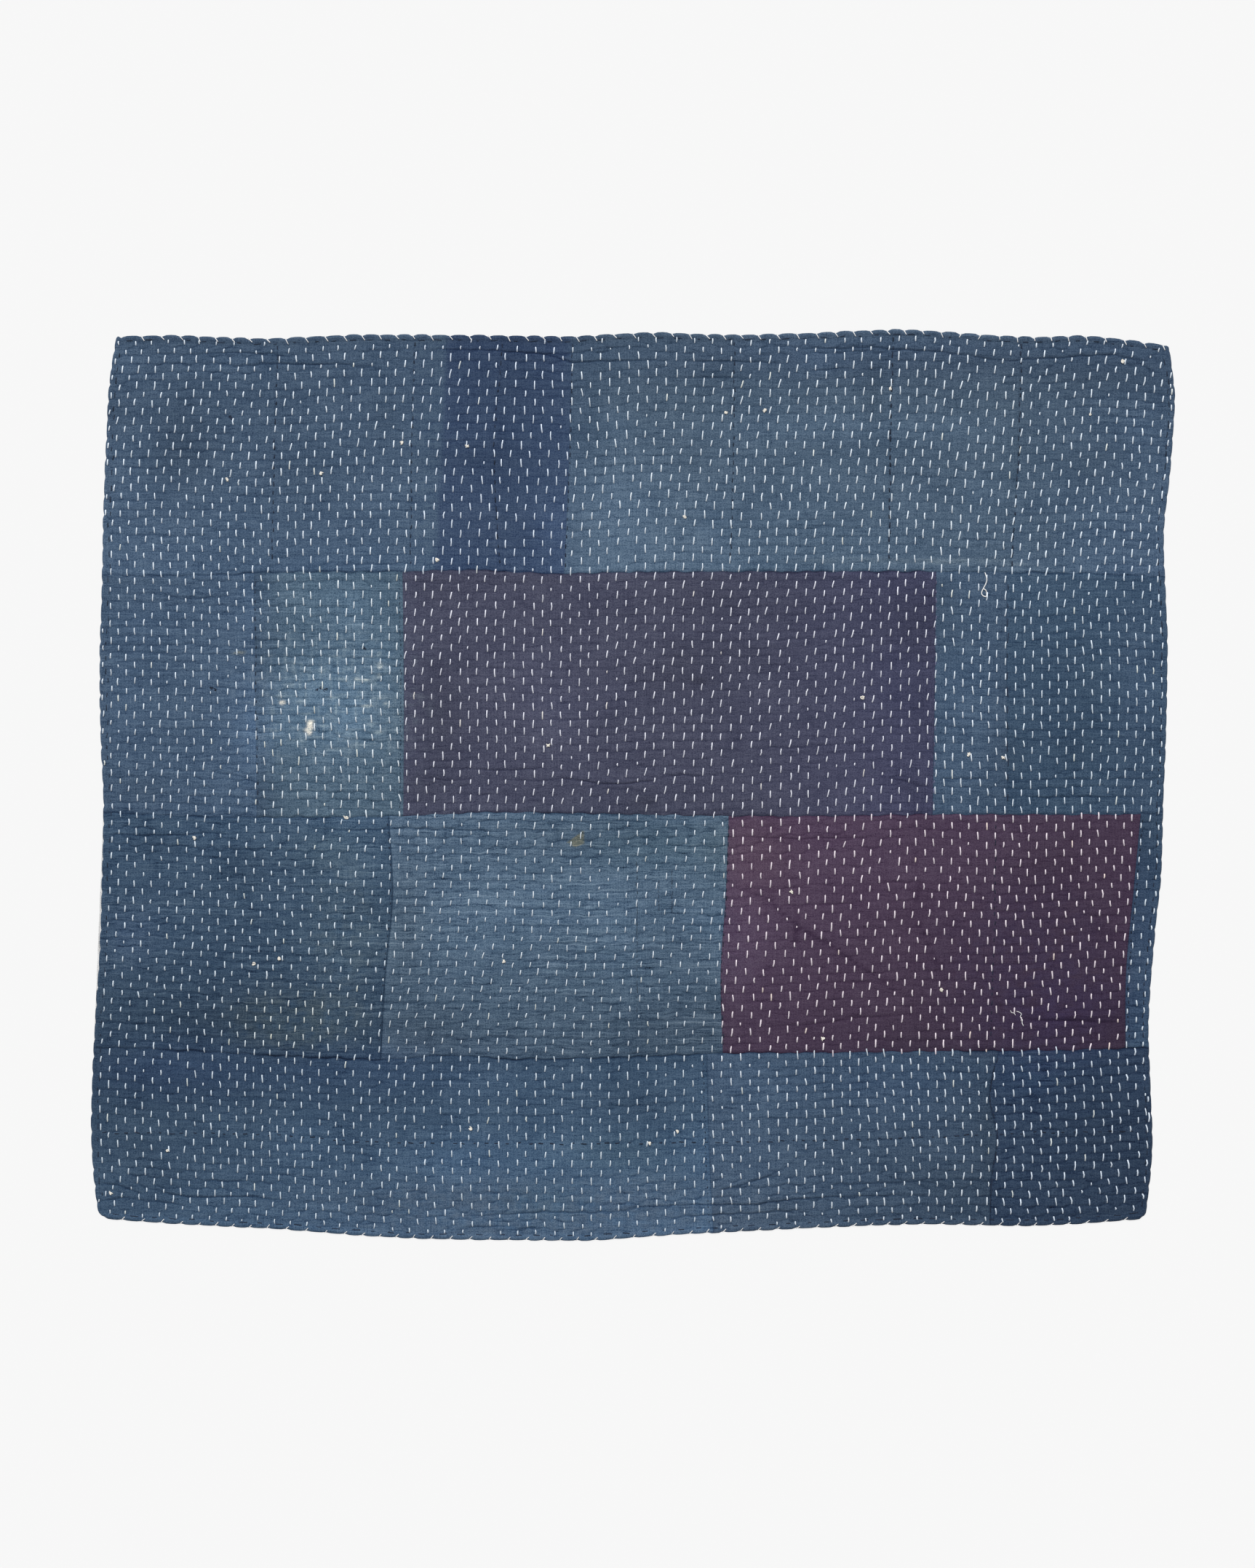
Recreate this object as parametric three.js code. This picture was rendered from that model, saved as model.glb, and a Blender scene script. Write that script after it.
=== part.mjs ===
// A boro blanket lying flat, face up: twenty cotton panels pieced into four bands and quilted
// through, with a rolled hem that is drawn into scallops along its upper and lower edges.
// Millimetres. +X runs along the bands, +Y towards the top band, +Z up from the flat underside.
import * as THREE from 'three';

// Heights of the top of the cloth above the underside
const CLOTH_HEIGHT = 3;
const SEAM_HEIGHT = 2;
const HEM_HEIGHT = 4;
const HEM_EDGE_HEIGHT = 1.8;
const HEM_STITCH_HEIGHT = 2.6;

// Distances across the cloth: the gap and shoulder of a seam, the hem's crest, sewing line and inner
// end, how far it tucks in underneath, the round of a corner, and the steps between points
const SEAM_GAP = 0.3;
const SEAM_SHOULDER = 9;
const HEM_CREST = 4;
const HEM_STITCH = 12;
const HEM_WIDTH = 22;
const HEM_TUCK = 0.9;
const CORNER_RADIUS = 13;
const GRID_STEP = 38;
const BORDER_STEP = 20;
const BORDER_CLEAR = 5;

// Scallops that the whip stitches draw into the hem: their pitch and how far it wanders, the depth from
// notch to swell, the share of it that lies inside the edge line, and the points along each scallop
const SCALLOP_PITCH = 25;
const SCALLOP_WANDER = 3;
const SCALLOP_DEPTH = 2.4;
const SCALLOP_INSIDE = 0.6;
const SCALLOP_POINTS = [0, 0.3, 0.72];

// Broad unevenness of cloth that has been washed and slept under: ripples whose lines sway
const RIPPLE_HEIGHT = 0.35;
const RIPPLE_LENGTH = { x: 58, y: 43 };
const SWAY_LENGTH = { x: 131, y: 97 };
const SWAY_TURN = 2;

// The long lines across the blanket, left to right, as [x, y]
const TOP_EDGE = [[-709, 616], [-630, 617], [-505, 613], [-380, 618], [-180, 617], [-80, 616], [20, 621],
  [130, 618], [230, 620], [370, 625], [470, 619], [545, 615], [630, 616], [736, 603]];
const HIGH_SEAM = [[-740, 289], [-660, 287], [-475, 292], [-316, 293], [-220, 295], [-110, 290], [-10, 292],
  [230, 293], [415, 293], [630, 290], [736, 285]];
const MIDDLE_SEAM = [[-740, -38], [-610, -43], [-460, -45], [-320, -43], [-200, -38], [-100, -39], [130, -43],
  [280, -43], [410, -41], [680, -41], [732, -38]];
const LOW_SEAM = [[-742, -361], [-610, -365], [-510, -371], [-385, -377], [-325, -377], [-260, -372],
  [-160, -377], [0, -374], [130, -369], [280, -368], [430, -366], [580, -365], [712, -361]];
const BOTTOM_EDGE = [[-733, -595], [-680, -600], [-580, -606], [-480, -611], [-380, -619], [-280, -624],
  [-130, -626], [-55, -626], [45, -619], [145, -614], [245, -609], [395, -604], [545, -606], [645, -601],
  [703, -596]];

// The two outer sides, bottom to top, as [y, x]
const LEFT_EDGE = [[-595, -733], [-576, -737], [-501, -744], [-426, -744], [-301, -738], [-226, -733],
  [-126, -730], [-26, -728], [74, -732], [174, -733], [274, -730], [374, -728], [474, -724], [549, -720],
  [599, -713], [616, -709]];
const RIGHT_EDGE = [[-596, 703], [-576, 706], [-501, 713], [-426, 711], [-326, 708], [-201, 717], [-126, 725],
  [-26, 728], [74, 732], [199, 734], [249, 732], [349, 729], [424, 737], [524, 744], [549, 743], [603, 736]];

// Dyes of the cloth
const DYES = {
  midnight: 0x2f3e53,
  deep: 0x3a4964,
  dark: 0x3c4e64,
  mid: 0x46586f,
  light: 0x4d5f73,
  pale: 0x546a7e,
  purple: 0x47495c,
  plum: 0x46394c,
};

// The bands, top to bottom: the dye of each panel from left to right, and the seams between them,
// each as its x at even steps down the band. The extra rows are distances in from a band's border.
const BANDS = [
  {
    name: 'top',
    upper: TOP_EDGE,
    lower: HIGH_SEAM,
    dyes: ['mid', 'mid', 'deep', 'deep', 'light', 'light', 'light', 'mid'],
    seams: [[-489, -494, -498], [-301, -305, -307], [-180, -192, -184], [-84, -88, -95], [138, 137, 132],
      [356, 352, 350], [532, 528, 518]],
    rowsBelowTop: [31, 40, 52],
    rowsAboveFoot: [],
  },
  {
    name: 'upper',
    upper: HIGH_SEAM,
    lower: MIDDLE_SEAM,
    dyes: ['mid', 'pale', 'purple', 'mid', 'dark'],
    seams: [[-521, -519, -517], [-317, -315, -316], [416, 414, 411], [513, 513, 514]],
    rowsBelowTop: [],
    rowsAboveFoot: [36, 46, 56],
  },
  {
    name: 'lower',
    upper: MIDDLE_SEAM,
    lower: LOW_SEAM,
    dyes: ['dark', 'light', 'plum', 'dark'],
    seams: [[-336, -331, -341, -347], [131, 127, 120, 123], [697, 687, 677, 676]],
    rowsBelowTop: [],
    rowsAboveFoot: [],
  },
  {
    name: 'bottom',
    upper: LOW_SEAM,
    lower: BOTTOM_EDGE,
    dyes: ['dark', 'mid', 'midnight'],
    seams: [[101, 104, 110], [502, 489, 499, 491, 490]],
    rowsBelowTop: [],
    rowsAboveFoot: [31, 40, 52, 66],
  },
];

// Main creases: ridges that run along a few points, with their height and half width
const CREASES = [
  { path: [[-595, 592], [-495, 593], [-470, 587]], rise: 0.8, reach: 9 },
  { path: [[-550, 573], [-485, 579], [-360, 576]], rise: 0.9, reach: 10 },
  { path: [[-270, 599], [-125, 592], [-83, 580], [44, 582]], rise: 1.1, reach: 10 },
  { path: [[74, 582], [197, 580]], rise: 0.9, reach: 9 },
  { path: [[330, 601], [430, 595], [494, 583]], rise: 0.9, reach: 10 },
  { path: [[-102, 13], [-80, 7], [-25, 1], [32, 7], [62, 13]], rise: 1.3, reach: 12 },
  { path: [[134, -141], [190, -181], [280, -231], [340, -271]], rise: 1.1, reach: 18 },
  { path: [[390, -191], [414, -241], [432, -278]], rise: 0.9, reach: 18 },
  { path: [[-737, -546], [-670, -564], [-540, -576]], rise: 1.1, reach: 11 },
  { path: [[-170, -596], [-20, -586], [130, -576], [260, -561], [400, -563]], rise: 1.1, reach: 11 },
];

// A smooth line through pairs of [position, value], as a function of position
function smoothLine(pairs) {
  const slopes = pairs.map((pair, i) => {
    const before = pairs[Math.max(i - 1, 0)];
    const after = pairs[Math.min(i + 1, pairs.length - 1)];
    return (after[1] - before[1]) / (after[0] - before[0]);
  });
  return (position) => {
    const next = pairs.findIndex((pair) => pair[0] > position);
    const i = next === -1 ? pairs.length - 2 : Math.max(next - 1, 0);
    const span = pairs[i + 1][0] - pairs[i][0];
    const t = THREE.MathUtils.clamp((position - pairs[i][0]) / span, 0, 1);
    const rise = pairs[i + 1][1] - pairs[i][1];
    const bend = t * (1 - t) * span;
    return pairs[i][1] + rise * t * t * (3 - 2 * t) + bend * ((1 - t) * slopes[i] - t * slopes[i + 1]);
  };
}

// A seam down a band, from its x at even steps between the band's two borders
function seamLine(steps, upper, lower) {
  const middle = steps[Math.floor(steps.length / 2)];
  const head = upper(middle);
  const foot = lower(middle);
  const pairs = steps.map((x, i) => [head + ((foot - head) * i) / (steps.length - 1), x]);
  return smoothLine(pairs.reverse());
}

// Distance from a point to a path of straight stretches
function distanceToPath(x, y, path) {
  const point = new THREE.Vector3(x, y, 0);
  const nearest = new THREE.Vector3();
  let least = Infinity;
  for (let i = 1; i < path.length; i += 1) {
    const stretch = new THREE.Line3(new THREE.Vector3(...path[i - 1], 0), new THREE.Vector3(...path[i], 0));
    stretch.closestPointToPoint(point, true, nearest);
    least = Math.min(least, nearest.distanceTo(point));
  }
  return least;
}

// Height of open cloth, with its ripples and creases
function clothHeight(x, y) {
  const across = Math.sin(x / RIPPLE_LENGTH.x + SWAY_TURN * Math.sin(y / SWAY_LENGTH.y));
  const along = Math.sin(y / RIPPLE_LENGTH.y + SWAY_TURN * Math.sin(x / SWAY_LENGTH.x));
  let height = CLOTH_HEIGHT + RIPPLE_HEIGHT * across * along;
  for (const crease of CREASES) {
    const away = distanceToPath(x, y, crease.path) / crease.reach;
    height += crease.rise * Math.exp(-away * away);
  }
  return height;
}

// Height of the cloth at a distance in from a seam
function heightFromSeam(away, open) {
  return THREE.MathUtils.lerp(SEAM_HEIGHT, open, THREE.MathUtils.smoothstep(away, 0, SEAM_SHOULDER));
}

// Height of the cloth at a distance in from the hem's outer edge
function heightFromHem(away, open) {
  const hem = smoothLine([[0, HEM_EDGE_HEIGHT], [HEM_CREST, HEM_HEIGHT], [HEM_STITCH, HEM_STITCH_HEIGHT],
    [HEM_WIDTH, open]]);
  return away < HEM_WIDTH ? hem(away) : open;
}

// Position of a scallop's notch along the edge, or of a share of the way to the next notch
function notchAt(index) {
  return index * SCALLOP_PITCH + SCALLOP_WANDER * Math.sin(index * 0.7);
}

// How far a hem's edge is drawn in at x: most at a notch, and swelling out between notches
function scallopDepth(x) {
  let index = Math.floor(x / SCALLOP_PITCH) - 1;
  while (notchAt(index + 1) <= x) index += 1;
  const along = (x - notchAt(index)) / (notchAt(index + 1) - notchAt(index));
  const swell = Math.sin(Math.PI * Math.sqrt(along));
  const tightness = 0.7 + 0.3 * Math.sin(index * 1.9);
  return SCALLOP_DEPTH * tightness * (SCALLOP_INSIDE - swell);
}

// Rounds a corner where two outer edges meet, given how far in from both a point lies
function roundCorner(point, inX, inY, towardX, towardY) {
  if (inX > CORNER_RADIUS || inY > CORNER_RADIUS) return;
  const a = 1 - inX / CORNER_RADIUS;
  const b = 1 - inY / CORNER_RADIUS;
  point.x += towardX * CORNER_RADIUS * (a - a * Math.sqrt(1 - (b * b) / 2));
  point.y += towardY * CORNER_RADIUS * (b - b * Math.sqrt(1 - (a * a) / 2));
}

// Fractions of a side at which the cloth has a row of points: close to its ends and even between
function rowsAlong(length, nearStart, nearEnd) {
  const first = nearStart[nearStart.length - 1];
  const last = length - nearEnd[nearEnd.length - 1];
  const count = Math.max(Math.round((last - first) / GRID_STEP), 1);
  const middle = Array.from({ length: count - 1 }, (_, i) => first + ((last - first) * (i + 1)) / count);
  const fromEnd = nearEnd.map((away) => length - away).reverse();
  return [...nearStart, ...middle, ...fromEnd].map((away) => away / length);
}

// Height and place of one point of a panel, from its fractions across and up
function panelPoint(panel, u, v) {
  const point = new THREE.Vector3(panel.middleX, 0, 0);
  for (let pass = 0; pass < 5; pass += 1) {
    point.y = THREE.MathUtils.lerp(panel.lower(point.x), panel.upper(point.x), v);
    point.x = THREE.MathUtils.lerp(panel.left(point.y), panel.right(point.y), u);
  }
  const sides = [
    { away: point.x - panel.left(point.y), hem: panel.hem.left },
    { away: panel.right(point.y) - point.x, hem: panel.hem.right },
    { away: panel.upper(point.x) - point.y, hem: panel.hem.upper },
    { away: point.y - panel.lower(point.x), hem: panel.hem.lower },
  ];
  const open = clothHeight(point.x, point.y);
  const heights = sides.map(({ away, hem }) => (hem ? heightFromHem(away, open) : heightFromSeam(away, open)));
  const hemOnly = sides.every(({ away, hem }) => hem || away > SEAM_SHOULDER);
  const nearest = sides.reduce((best, side) => (side.away < best.away ? side : best));
  point.z = hemOnly && nearest.hem ? heightFromHem(nearest.away, open) : Math.min(...heights);
  const [left, right, upper, lower] = sides;
  if (left.hem && upper.hem) roundCorner(point, left.away, upper.away, 1, -1);
  if (right.hem && upper.hem) roundCorner(point, right.away, upper.away, -1, -1);
  if (left.hem && lower.hem) roundCorner(point, left.away, lower.away, 1, 1);
  if (right.hem && lower.hem) roundCorner(point, right.away, lower.away, -1, 1);
  return point;
}

// Places along a border: at and between the notches of a hem, or even steps along a seam
function placesAlong(from, to, hem) {
  const places = [];
  const pitch = hem ? SCALLOP_PITCH : BORDER_STEP;
  for (let index = Math.floor(from / pitch) - 1; index * pitch < to; index += 1) {
    if (hem) SCALLOP_POINTS.forEach((share) => places.push(notchAt(index + share)));
    else places.push(index * pitch);
  }
  return places;
}

// The upper or lower border row of a panel, drawn in between the scallops of a hem
function borderRow(panel, v) {
  const hem = v === 1 ? panel.hem.upper : panel.hem.lower;
  const inward = v === 1 ? -1 : 1;
  const start = panelPoint(panel, 0, v);
  const end = panelPoint(panel, 1, v);
  const clearLeft = hem && panel.hem.left ? CORNER_RADIUS : BORDER_CLEAR;
  const clearRight = hem && panel.hem.right ? CORNER_RADIUS : BORDER_CLEAR;
  const places = placesAlong(start.x, end.x, hem);
  const inside = places.filter((x) => x > start.x + clearLeft && x < end.x - clearRight);
  const between = inside.map((x) => {
    const point = panelPoint(panel, (x - start.x) / (end.x - start.x), v);
    if (hem) point.y += inward * scallopDepth(point.x);
    return point;
  });
  return [start, ...between, end];
}

// Triangles between two rows of points that both run left to right, the second one higher up
function joinRows(low, high, addTriangle) {
  let i = 0;
  let j = 0;
  while (i < low.length - 1 || j < high.length - 1) {
    const lowNext = i < low.length - 1 ? low[i + 1].x + low[i].x : Infinity;
    const highNext = j < high.length - 1 ? high[j + 1].x + high[j].x : Infinity;
    if (lowNext < highNext) {
      addTriangle(low[i], low[i + 1], high[j]);
      i += 1;
    } else {
      addTriangle(low[i], high[j + 1], high[j]);
      j += 1;
    }
  }
}

// The underside's copy of a border point: on the surface, tucked in under a hem
function undersidePoint(panel, point) {
  const below = point.clone();
  below.z = 0;
  if (panel.hem.left && point.x - panel.left(point.y) < HEM_CREST) below.x += HEM_TUCK;
  if (panel.hem.right && panel.right(point.y) - point.x < HEM_CREST) below.x -= HEM_TUCK;
  if (panel.hem.lower && point.y - panel.lower(point.x) < HEM_CREST) below.y += HEM_TUCK;
  if (panel.hem.upper && panel.upper(point.x) - point.y < HEM_CREST) below.y -= HEM_TUCK;
  return below;
}

// One panel as a closed solid: its quilted top, its border and its flat underside
function panelGeometry(panel) {
  const width = panel.right(panel.middleY) - panel.left(panel.middleY);
  const height = panel.upper(panel.middleX) - panel.lower(panel.middleX);
  const hemRows = [0, HEM_CREST, HEM_STITCH, HEM_WIDTH];
  const seamRows = [0, SEAM_SHOULDER];
  const across = rowsAlong(width, panel.hem.left ? hemRows : seamRows, panel.hem.right ? hemRows : seamRows);
  const up = rowsAlong(height, [...(panel.hem.lower ? hemRows : seamRows), ...panel.rowsAboveFoot],
    [...(panel.hem.upper ? hemRows : seamRows), ...panel.rowsBelowTop]);
  const innerRows = up.slice(1, -1).map((v) => across.map((u) => panelPoint(panel, u, v)));
  const rows = [borderRow(panel, 0), ...innerRows, borderRow(panel, 1)];

  const positions = [];
  const addTriangle = (a, b, c) => positions.push(...a, ...b, ...c);
  for (let j = 1; j < rows.length; j += 1) joinRows(rows[j - 1], rows[j], addTriangle);

  const leftSide = innerRows.map((row) => row[0]).toReversed();
  const rightSide = innerRows.map((row) => row[row.length - 1]);
  const border = [...rows[0], ...rightSide, ...rows[rows.length - 1].toReversed(), ...leftSide];
  const underside = border.map((point) => undersidePoint(panel, point));
  border.forEach((point, i) => {
    const next = (i + 1) % border.length;
    addTriangle(underside[i], underside[next], border[next]);
    addTriangle(underside[i], border[next], point);
  });
  const outline = underside.map((point) => new THREE.Vector2(point.x, point.y));
  for (const [a, b, c] of THREE.ShapeUtils.triangulateShape(outline, [])) {
    addTriangle(underside[a], underside[c], underside[b]);
  }

  const geometry = new THREE.BufferGeometry();
  geometry.setAttribute('position', new THREE.Float32BufferAttribute(positions, 3));
  geometry.computeVertexNormals();
  return geometry;
}

// A border moved by half the gap between neighbours
function shifted(line, offset) {
  return (position) => line(position) + offset;
}

// One band: its panels from left to right
function makeBand(band) {
  const group = new THREE.Group();
  const upper = smoothLine(band.upper);
  const lower = smoothLine(band.lower);
  const sides = [smoothLine(LEFT_EDGE), ...band.seams.map((steps) => seamLine(steps, upper, lower)),
    smoothLine(RIGHT_EDGE)];
  band.dyes.forEach((dye, i) => {
    const hem = {
      left: i === 0,
      right: i === band.dyes.length - 1,
      upper: band.upper === TOP_EDGE,
      lower: band.lower === BOTTOM_EDGE,
    };
    const half = SEAM_GAP / 2;
    const middleY = (upper(0) + lower(0)) / 2;
    const panel = {
      hem,
      left: shifted(sides[i], hem.left ? 0 : half),
      right: shifted(sides[i + 1], hem.right ? 0 : -half),
      upper: shifted(upper, hem.upper ? 0 : -half),
      lower: shifted(lower, hem.lower ? 0 : half),
      middleX: (sides[i](middleY) + sides[i + 1](middleY)) / 2,
      middleY,
      rowsBelowTop: band.rowsBelowTop,
      rowsAboveFoot: band.rowsAboveFoot,
    };
    const material = new THREE.MeshStandardMaterial({ color: DYES[dye], roughness: 0.95, metalness: 0 });
    const mesh = new THREE.Mesh(panelGeometry(panel), material);
    mesh.name = `panel_${band.name}_${i + 1}`;
    group.add(mesh);
  });
  return group;
}

const blanket = new THREE.Group();
BANDS.forEach((band) => blanket.add(makeBand(band)));

// The origin is under the middle of the blanket
const middle = new THREE.Box3().setFromObject(blanket).getCenter(new THREE.Vector3());
blanket.position.set(-middle.x, -middle.y, 0);

export default blanket;
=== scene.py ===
"""A boro blanket lying flat, seen from straight above: indigo, purple and plum cotton panels pieced into
four bands, quilted with rows of white running stitches, with dark seam stitches and a whipped, rolled hem.
Lengths are millimetres in the blanket's own plane until a mesh is made in metres."""

import math

import bpy
import numpy as np
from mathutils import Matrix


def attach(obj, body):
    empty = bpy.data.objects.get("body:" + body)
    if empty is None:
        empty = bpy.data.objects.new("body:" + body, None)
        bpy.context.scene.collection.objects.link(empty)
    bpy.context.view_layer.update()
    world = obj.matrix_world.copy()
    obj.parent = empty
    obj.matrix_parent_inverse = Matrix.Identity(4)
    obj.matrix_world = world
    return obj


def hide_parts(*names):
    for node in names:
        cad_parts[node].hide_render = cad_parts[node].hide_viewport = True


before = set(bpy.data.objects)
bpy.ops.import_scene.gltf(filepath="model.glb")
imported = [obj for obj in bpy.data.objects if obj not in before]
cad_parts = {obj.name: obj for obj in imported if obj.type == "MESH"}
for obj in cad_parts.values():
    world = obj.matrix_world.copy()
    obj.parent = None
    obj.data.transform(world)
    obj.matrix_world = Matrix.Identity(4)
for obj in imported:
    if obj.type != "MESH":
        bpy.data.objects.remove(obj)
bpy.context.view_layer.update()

# A millimetre in metres, and a distance beyond every hem and seam
MM = 0.001
FAR = 1000.0

RNG = np.random.default_rng(1871)

# Heights of the cloth above the surface that it lies on
CLOTH_HEIGHT = 3.0
HEM_HEIGHT = 4.0
HEM_EDGE_HEIGHT = 1.8
HEM_STITCH_HEIGHT = 2.5

# Distances in from the hem's outer edge: its crest, its stitched furrow and where it ends
HEM_CREST = 4.0
HEM_STITCH = 10.0
HEM_WIDTH = 20.0

# Spacing of a panel's points across and up, closer in the worn panel and in the strip of creases, and the
# distances of the rows next to a hem and to a seam
STEP_X = 6.6
STEP_Y = 1.6
WORN_STEP_X = 2.2
WORN_STEP_Y = 1.25
FINE_STEP_Y = 0.95
HEM_ROWS = [0.0, 0.3, 0.9, 1.8, 2.9, 4.2, 5.8, 7.4]
SEAM_ROWS = [0.0, 0.8, 1.8, 3.2]

# Rounds of the four corners
CORNERS = {("left", "upper"): 4.0, ("right", "upper"): 5.0,
           ("left", "lower"): 10.0, ("right", "lower"): 8.0}

# Scallops of the whipped hem
SCALLOP_PITCH = 25.0
SCALLOP_WANDER = 3.0
SCALLOP_INSIDE = 0.6
SCALLOPS = {"upper": 3.6, "lower": 2.4, "left": 1.8, "right": 1.2}
SCALLOP_SHARES = [0.0, 0.07, 0.24, 0.5, 0.74]
SOLID_SCALLOP = 2.4
SCALLOP_REACH = 14.0
SWELL_STARTS = (-0.15, 0.35)
SWELL_ENDS = (0.68, 1.0)
PINCH_DEPTH = 0.9
PINCH_WIDTH = 3.2
PINCH_REACH = 10.0

# White quilting stitches: columns from edge to edge, each with staggered running stitches
STITCH_ROWS = 52
FIRST_ROW = 0.4
STAGGER = 0.5
LAST_ROW = 0.3
STITCH_RADIUS = 0.9
STITCH_END_CLEAR = 7.0
STITCH_SIDE_CLEAR = 3.0
COLUMN_CLEAR = 5.5

# How far their columns and rows wander over the cloth, and single stitches stray from them
COLUMN_WANDER = 2.5
COLUMN_SHAKE = 0.7
COLUMN_STRAY = 0.5
ROW_WANDER = 3.0
ROW_STRAY = 0.9

# How their lengths and their leans, in degrees, differ, and what share is very short or left out
LENGTH_SPREAD = 1.2
LENGTH_LIMITS = (5.0, 13.0)
LEAN_SWAY = 2.5
LEAN_SPREAD = 4.0
SHORT_SHARE = 0.025
SHORT_LENGTH = 3.5
SKIPPED_SHARE = 0.012

# How they get shorter toward the ends of a column and toward the sides of the blanket: the share at the
# edge, the distance that adds a whole length, and the least share
END_SHORTENING = (0.42, 55.0, 0.55)
SIDE_SHORTENING = (0.7, 40.0, 0.75)

# How near to a crease they are shortened, and to what share
CREASE_NEAR = 4.0
CREASE_SHORTENING = 0.6

# The hollow that a white stitch pulls in the cloth, and the deeper one at each end: depth and half sizes,
# then the painted shade at each end
PULL_REACH = 14
PULL_DEPTH = 0.25
PULL_WIDTH = 2.4
PULL_LENGTH_SHARE = 0.6
END_DEPTH = 0.45
END_WIDTH, END_HEIGHT = 4.5, 2.2
END_SHADE = 0.35
END_SHADE_WIDTH, END_SHADE_HEIGHT = 3.0, 1.6

# The long lines across the blanket, left to right, as (x, y)
TOP_EDGE = [(-709, 616), (-630, 617), (-505, 613), (-380, 618), (-180, 617), (-80, 616), (20, 621),
            (130, 618), (230, 620), (370, 625), (470, 619), (545, 615), (630, 616), (736, 603)]
HIGH_SEAM = [(-740, 289), (-660, 287), (-475, 292), (-316, 293), (-220, 295), (-110, 290), (-10, 292),
             (230, 293), (415, 293), (630, 290), (736, 285)]
MIDDLE_SEAM = [(-740, -38), (-610, -43), (-460, -45), (-320, -43), (-200, -38), (-100, -39), (130, -43),
               (280, -43), (410, -41), (680, -41), (732, -38)]
LOW_SEAM = [(-742, -361), (-610, -365), (-510, -371), (-385, -377), (-325, -377), (-260, -372),
            (-160, -377), (0, -374), (130, -369), (280, -368), (430, -366), (580, -365), (712, -361)]
BOTTOM_EDGE = [(-733, -595), (-680, -600), (-580, -606), (-480, -611), (-380, -619), (-280, -624),
               (-130, -626), (-55, -626), (45, -619), (145, -614), (245, -609), (395, -604), (545, -606),
               (645, -601), (703, -596)]

# The two outer sides, bottom to top, as (y, x)
LEFT_EDGE = [(-595, -733), (-576, -737), (-501, -744), (-426, -744), (-301, -738), (-226, -733),
             (-126, -730), (-26, -728), (74, -732), (174, -733), (274, -730), (374, -728), (474, -724),
             (549, -720), (599, -713), (616, -709)]
RIGHT_EDGE = [(-596, 703), (-576, 706), (-501, 713), (-426, 711), (-326, 708), (-201, 717), (-126, 725),
              (-26, 728), (74, 732), (199, 734), (249, 732), (349, 729), (424, 737), (524, 744), (549, 743),
              (603, 736)]

# Dyes of the cloth, as linear colours
DYES = {
    "indigo_midnight": (0.0265, 0.048, 0.089),
    "indigo_deep": (0.039, 0.067, 0.130),
    "indigo_dark": (0.0415, 0.076, 0.128),
    "indigo_mid": (0.0585, 0.098, 0.160),
    "indigo_light": (0.071, 0.114, 0.173),
    "indigo_pale": (0.088, 0.144, 0.208),
    "grey_purple": (0.0605, 0.0650, 0.1070),
    "blue_purple": (0.0605, 0.0650, 0.1280),
    "plum": (0.0645, 0.0415, 0.0755),
}

# How much greyer a dye is where the cloth is lighter, and deeper where it is darker
GREYING = 0.5


def channel_powers(dye):
    """How fast each channel of a dye follows its light and dark, so that pale threads are greyer."""
    colour = np.array(DYES[dye])
    return 1.0 - GREYING * np.log(colour / colour[1])


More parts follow.
